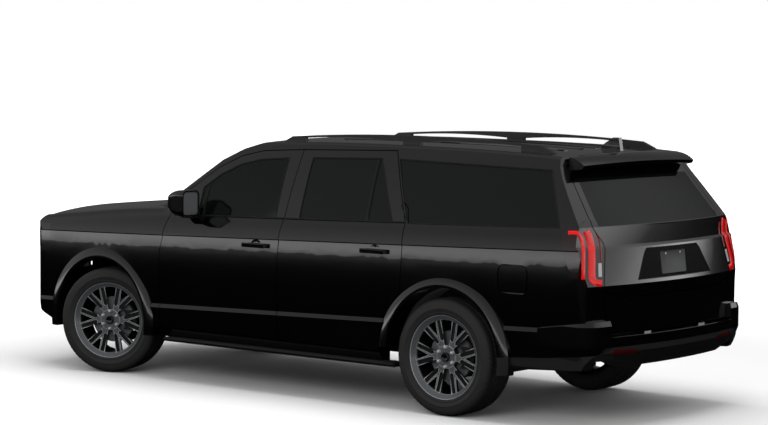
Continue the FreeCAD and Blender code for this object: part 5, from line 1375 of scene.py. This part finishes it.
@dataclass
class Seat:
    """One seat: plinth, cushion, raked back and, but for the last row, a head rest on posts."""

    name: str
    x: float
    y: float
    width: float
    cushion_z: float
    base_z: float
    head_rest: bool = True
    depth: float = 0.47
    thickness: float = 0.13
    back_height: float = 0.56
    rake: float = 0.42
    hip_drop: float = 0.02
    back_shares: Tuple[float, float] = (0.96, 0.92)
    back_gap: float = 0.005
    back_set: float = -0.035
    rest_size: Spot = (0.168, 0.250, 0.095)
    rest_gap: float = 0.035
    rest_set: float = -0.030
    bench_width: float = 0.8
    chair_lanes: Tuple[float, ...] = (-0.56, 0.56)
    bench_lanes: Tuple[float, ...] = (-0.78, -0.34, 0.34, 0.78)
    rest_cord: float = 0.2
    plinth_foot: Places = ((1.0, 0.0), (0.94, 0.02))
    plinth_head: Places = ((0.90, -0.02), (1.02, 0.03))
    plinth_share: float = 0.86
    plinth_corner: float = 0.040
    post_radius: float = 0.006
    post_length: float = 0.11
    post_sunk: float = 0.04
    post_reach: float = 0.065
    post_steps: int = 12

    def put(self, shape: Shape, up: float, off: float) -> Shape:
        """Stand a pad on its low edge along the raked back.

        Args:
            shape: Pad with its length along X and its face towards +Z.
            up: Distance of its middle from the hip, along the back.
            off: Distance of its middle in front of the back's plane.

        Returns:
            The pad in place.
        """
        lean = math.atan(self.rake)
        shape = shape.moved((up, 0.0, off)).turned("Y", -90.0 - math.degrees(lean))
        return shape.moved((self.x, self.y, self.cushion_z - self.hip_drop))

    def pads(self) -> Dict[str, Tuple[Shape, Shape]]:
        """Skin and piping of each pad of the seat, in place."""
        lanes = self.chair_lanes if self.width < self.bench_width else self.bench_lanes
        cushion = Pad((self.depth, self.width, self.thickness), channels=lanes)
        place = (self.x + self.depth / 2, self.y, self.cushion_z - self.thickness / 2)
        wide, thick = self.back_shares
        back = Pad((self.back_height, self.width * wide, self.thickness * thick),
                   channels=lanes)
        middle = self.back_height / 2 + self.back_gap
        made = {
            "cushion": (cushion.surface().moved(place), cushion.piping().moved(place)),
            "back": (self.put(back.surface(), middle, self.back_set),
                     self.put(back.piping(), middle, self.back_set))}
        if self.head_rest:
            rest = Pad(self.rest_size, squareness=0.5, roll=0.7)
            up = self.back_height + self.rest_gap + self.rest_size[0] / 2
            made["head_rest"] = (self.put(rest.surface(), up, self.rest_set),
                                 self.put(rest.piping(self.rest_cord), up, self.rest_set))
        return made

    def frame(self) -> Shape:
        """Plinth under the cushion, tapered, with the two posts of the head rest.

        Each row of plinth_foot and plinth_head is a share of the outline, and a height over
        the floor or over the underside of the cushion.
        """
        flat = rounded(self.depth * self.plinth_share, self.width * self.plinth_share,
                       self.plinth_corner)
        under = self.cushion_z - self.thickness
        levels = [(share, self.base_z + rise) for share, rise in self.plinth_foot]
        levels += [(share, under + rise) for share, rise in self.plinth_head]
        rings = [in_space(flat * share + (self.x + self.depth / 2, self.y), 2, z)
                 for share, z in levels]
        parts = [Shape.grid(np.stack(rings), wrap_v=True, caps=True)]
        if self.head_rest:
            profile = ((0.0, 0.0), (self.post_radius, 0.0), (self.post_radius, self.post_length),
                       (0.0, self.post_length))
            post = Shape.lathe(profile, self.post_steps).turned("Z", -90.0)
            foot = self.back_height - self.post_sunk
            parts += [self.put(post.moved((foot, side.value * self.post_reach, 0.0)), 0.0,
                               self.rest_set) for side in Side]
        return Shape.joined(parts)

    def build(self) -> bpy.types.Object:
        """Build the seat and return its frame."""
        for part, (skin, cord) in self.pads().items():
            made = piece(f"{self.name}_seat_{part}", skin, Finishes.leather, "body",
                         sharp_deg=75.0)
            piece(f"{self.name}_seat_{part}_piping", cord, Finishes.thread, "body")
        return piece(f"{self.name}_seat_frame", self.frame(), Finishes.dash, "body")


@dataclass
class Cabin:
    """Seats, wheel cover and console behind the glass."""

    seats: Tuple[Seat, ...] = (
        Seat("front_left", 0.150, 0.400, 0.52, 0.700, 0.460),
        Seat("front_right", 0.150, -0.400, 0.52, 0.700, 0.460),
        Seat("middle_left", -0.800, 0.400, 0.52, 0.700, 0.460),
        Seat("middle_right", -0.800, -0.400, 0.52, 0.700, 0.460),
        Seat("third_row", -1.750, 0.0, 1.24, 0.800, 0.620, head_rest=False))
    wheel_centre: Spot = (0.640, 0.400, 1.065)
    wheel_radius: float = 0.178
    wheel_section: float = 0.0162
    wheel_swell: float = 0.10
    wheel_steps: int = 96
    section_steps: int = 16
    wheel_tilt_deg: float = 25.0
    console_sections: Tuple[Spot, ...] = (
        (0.100, 0.090, 0.745), (0.120, 0.104, 0.770), (0.300, 0.108, 0.775),
        (0.330, 0.106, 0.735), (0.560, 0.102, 0.740), (0.600, 0.094, 0.720))
    console_corner: float = 0.028
    floor_z: float = 0.475

    def wheel_cover(self) -> Shape:
        """Leather rim of the steering wheel, thicker at the two hand rests.

        The section's radius grows by a tenth of cos(2t) to the fourth round the rim.
        """
        turn, section = turns(self.wheel_steps)[:, None], turns(self.section_steps)[None, :]
        thick = self.wheel_section * (1.0 + self.wheel_swell * np.cos(2 * turn) ** 4)
        reach = self.wheel_radius + thick * np.cos(section)
        points = np.stack((thick * np.sin(section), reach * np.cos(turn),
                           reach * np.sin(turn)), -1)
        shape = Shape.grid(points, wrap_u=True, wrap_v=True)
        return shape.turned("Y", self.wheel_tilt_deg).moved(self.wheel_centre)

    def console(self) -> Shape:
        """Console between the front seats, lofted through rounded sections."""
        rings = []
        for x, half, top in self.console_sections:
            height = top - self.floor_z
            flat = rounded(2 * half, height, self.console_corner)
            rings.append(in_space(flat + (0.0, self.floor_z + height / 2), 0, x))
        return Shape.grid(np.stack(rings), wrap_v=True, caps=True)

    def build(self) -> None:
        """Build everything in the cabin."""
        frames = [seat.build() for seat in self.seats]
        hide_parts("seats")
        piece("steering_wheel_cover", self.wheel_cover(), Finishes.leather, "body")
        piece("centre_console", self.console(), Finishes.dash, "body")


@dataclass(frozen=True)
class SoftBox:
    """One soft box of the studio, which the lacquer doesn't mirror.

    Attributes:
        name: Name of the lamp.
        place: Where it hangs, in metres.
        aim: Point that it faces.
        size: Width and height in metres.
        watts: Power.
    """

    name: str
    place: Spot
    aim: Spot
    size: Tuple[float, float]
    watts: float

    def hang(self) -> None:
        """Add the lamp to the scene."""
        data = bpy.data.lights.new(self.name, "AREA")
        data.shape = "RECTANGLE"
        data.size, data.size_y = self.size
        data.energy = self.watts
        lamp = bpy.data.objects.new(self.name, data)
        lamp.location = self.place
        way = Vector(self.aim) - Vector(self.place)
        lamp.rotation_euler = way.to_track_quat("-Z", "Y").to_euler()
        lamp.visible_glossy = False
        bpy.context.scene.collection.objects.link(lamp)


@dataclass
class Studio:
    """Camera, floor, world and lamps of the picture.

    A Ramp is two values and the two results that they give.
    """

    eye: Vector = Vector((-11.346, 13.628, 2.482))
    yaw_deg: float = -50.65
    pitch_deg: float = -3.868
    roll_deg: float = 0.4315
    lens: float = 110.35
    sensor: float = 36.0
    far: float = 200.0
    floor_half: float = 40.0
    shadow_reach: float = 3.5
    white_reach: float = 9.0
    lamps: Tuple[SoftBox, ...] = (
        SoftBox("overhead", (0.0, 0.0, 7.5), (0.0, 0.0, 0.0), (9.0, 5.0), 420.0),
        SoftBox("left_bank", (-4.0, 10.0, 5.0), (-0.5, 0.0, 0.8), (7.0, 3.0), 260.0))
    bank_heading: Spot = (-0.634, 0.773, 0.0)
    rear_heading: Spot = (-0.640, -0.768, 0.0)
    rear_wall: float = 0.13
    rear_ramp: Ramp = (0.3, 0.7, 0.0, 1.0)
    bank_ramp: Ramp = (-0.9, -0.3, 0.0, 1.0)
    horizon_ramp: Ramp = (0.0, 0.07, 1.83, 0.33)
    zenith_ramp: Ramp = (0.08, 0.60, 1.0, 0.55)
    ground_ramp: Ramp = (-0.045, 0.012, 0.01, 1.0)
    rear_level: float = 1.5
    base_level: float = 0.07
    diffuse_level: float = 0.55

    def camera(self) -> None:
        """Stand the camera where the photograph was taken from."""
        yaw, pitch, roll = (math.radians(a) for a in (self.yaw_deg, self.pitch_deg,
                                                       self.roll_deg))
        ahead = Vector((math.cos(pitch) * math.cos(yaw), math.cos(pitch) * math.sin(yaw),
                        math.sin(pitch)))
        right = ahead.cross(Vector((0, 0, 1))).normalized()
        up = right.cross(ahead)
        tilted = right * math.cos(roll) + up * math.sin(roll)
        up = -right * math.sin(roll) + up * math.cos(roll)
        data = bpy.data.cameras.new("camera")
        data.lens = self.lens
        data.sensor_width = self.sensor
        data.clip_end = self.far
        camera = bpy.data.objects.new("camera", data)
        turn = Matrix((tilted, up, -ahead)).transposed()
        camera.matrix_world = Matrix.Translation(self.eye) @ turn.to_4x4()
        bpy.context.scene.collection.objects.link(camera)
        bpy.context.scene.camera = camera

    def floor(self) -> None:
        """Lay the pale floor: shaded near the vehicle, white further out.

        It takes the light as it falls up to shadow_reach and shines by itself from
        white_reach on. The lacquer mirrors it nearly black, as it does the real ground.
        """
        half = self.floor_half
        mesh = bpy.data.meshes.new("floor")
        mesh.from_pydata([(-half, -half, 0), (half, -half, 0), (half, half, 0),
                          (-half, half, 0)], [], [(0, 1, 2, 3)])
        floor = bpy.data.objects.new("floor", mesh)
        bpy.context.scene.collection.objects.link(floor)
        paint = bpy.data.materials.new("studio_floor_white_paint")
        paint.use_nodes = True
        tree = paint.node_tree
        tree.nodes.clear()
        place = add(tree, "ShaderNodeTexCoord").outputs["Object"]
        share = ramp(tree, vector(tree, "LENGTH", place), self.shadow_reach, self.white_reach,
                     smooth=True)
        matt, dim, dark = (add(tree, "ShaderNodeBsdfDiffuse", {"Color": linear(colour)})
                           .outputs[0] for colour in ("#ffffff", "#6e6e6e", "#0a0a0a"))
        glow = add(tree, "ShaderNodeEmission", {"Strength": share})
        both = add(tree, "ShaderNodeAddShader", {0: matt, 1: glow.outputs[0]})
        rays = add(tree, "ShaderNodeLightPath").outputs
        other = between(tree, rays["Is Glossy Ray"], dim, dark)
        add(tree, "ShaderNodeOutputMaterial", {
            "Surface": between(tree, rays["Is Camera Ray"], other, both.outputs[0])})
        mesh.materials.append(paint)

    def mirrored(self, tree: bpy.types.NodeTree) -> bpy.types.NodeSocket:
        """Light that the lacquer mirrors: a bank on one side, brightest at the horizon.

        Behind the vehicle a dark wall lifts the horizon, and the bank stays bright above it.

        Args:
            tree: Node tree of the world.

        Returns:
            The level, base + bank * horizon * zenith, and a hundredth of it below the
            horizon.
        """
        way = add(tree, "ShaderNodeTexCoord").outputs["Generated"]
        rise = add(tree, "ShaderNodeSeparateXYZ", {0: way}).outputs[2]
        behind = vector(tree, "DOT_PRODUCT", way, self.rear_heading)
        rear = ramp(tree, behind, *self.rear_ramp, smooth=True)
        height = number(tree, "MULTIPLY_ADD", rear, -self.rear_wall, rise)
        facing = vector(tree, "DOT_PRODUCT", way, self.bank_heading)
        bank = ramp(tree, facing, *self.bank_ramp, smooth=True)
        horizon = ramp(tree, height, *self.horizon_ramp)
        zenith = ramp(tree, rise, *self.zenith_ramp, smooth=True)
        kept = add(tree, "ShaderNodeMix", {0: rear, 2: zenith, 3: self.rear_level}).outputs[0]
        soft = number(tree, "MULTIPLY", horizon, kept)
        level = number(tree, "MULTIPLY_ADD", bank, soft, self.base_level)
        return number(tree, "MULTIPLY", level, ramp(tree, height, *self.ground_ramp))

    def world(self) -> None:
        """White behind the vehicle, and a graded studio in what its lacquer mirrors."""
        world = bpy.data.worlds.new("studio")
        world.use_nodes = True
        tree = world.node_tree
        tree.nodes.clear()
        rays = add(tree, "ShaderNodeLightPath").outputs
        seen = number(tree, "MAXIMUM", rays["Is Camera Ray"], rays["Is Transmission Ray"])
        lit = number(tree, "MULTIPLY_ADD", rays["Is Diffuse Ray"], self.diffuse_level, seen)
        strength = number(tree, "MULTIPLY_ADD", rays["Is Glossy Ray"], self.mirrored(tree), lit)
        back = add(tree, "ShaderNodeBackground", {
            "Color": linear("#ffffff"), "Strength": strength})
        add(tree, "ShaderNodeOutputWorld", {"Surface": back.outputs[0]})
        bpy.context.scene.world = world

    def build(self) -> None:
        """Set up the whole studio."""
        self.camera()
        self.floor()
        self.world()
        for lamp in self.lamps:
            lamp.hang()
        bpy.context.scene.view_settings.view_transform = "Standard"
        LOG.info("studio ready")


def write_sizes() -> None:
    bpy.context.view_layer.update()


def main() -> None:
    """Dress the CAD, build each sub-assembly in order and set up the studio."""
    logging.basicConfig(level=logging.INFO, format="%(name)s: %(message)s")
    Bodywork().dress()
    for side in Side:
        Wheel("front", side, FRONT_AXLE_X, PARKED_STEER_DEG).build()
        Wheel("rear", side, REAR_AXLE_X, 0.0).build()
    TailLamps().build()
    NumberPlate().build()
    Glazing().build()
    Handles().build()
    MirrorGlass().build()
    Headlamps().build()
    Steps().build()
    Wipers().build()
    Cabin().build()
    Studio().build()
    write_sizes()


if __name__ == "__main__":
    main()
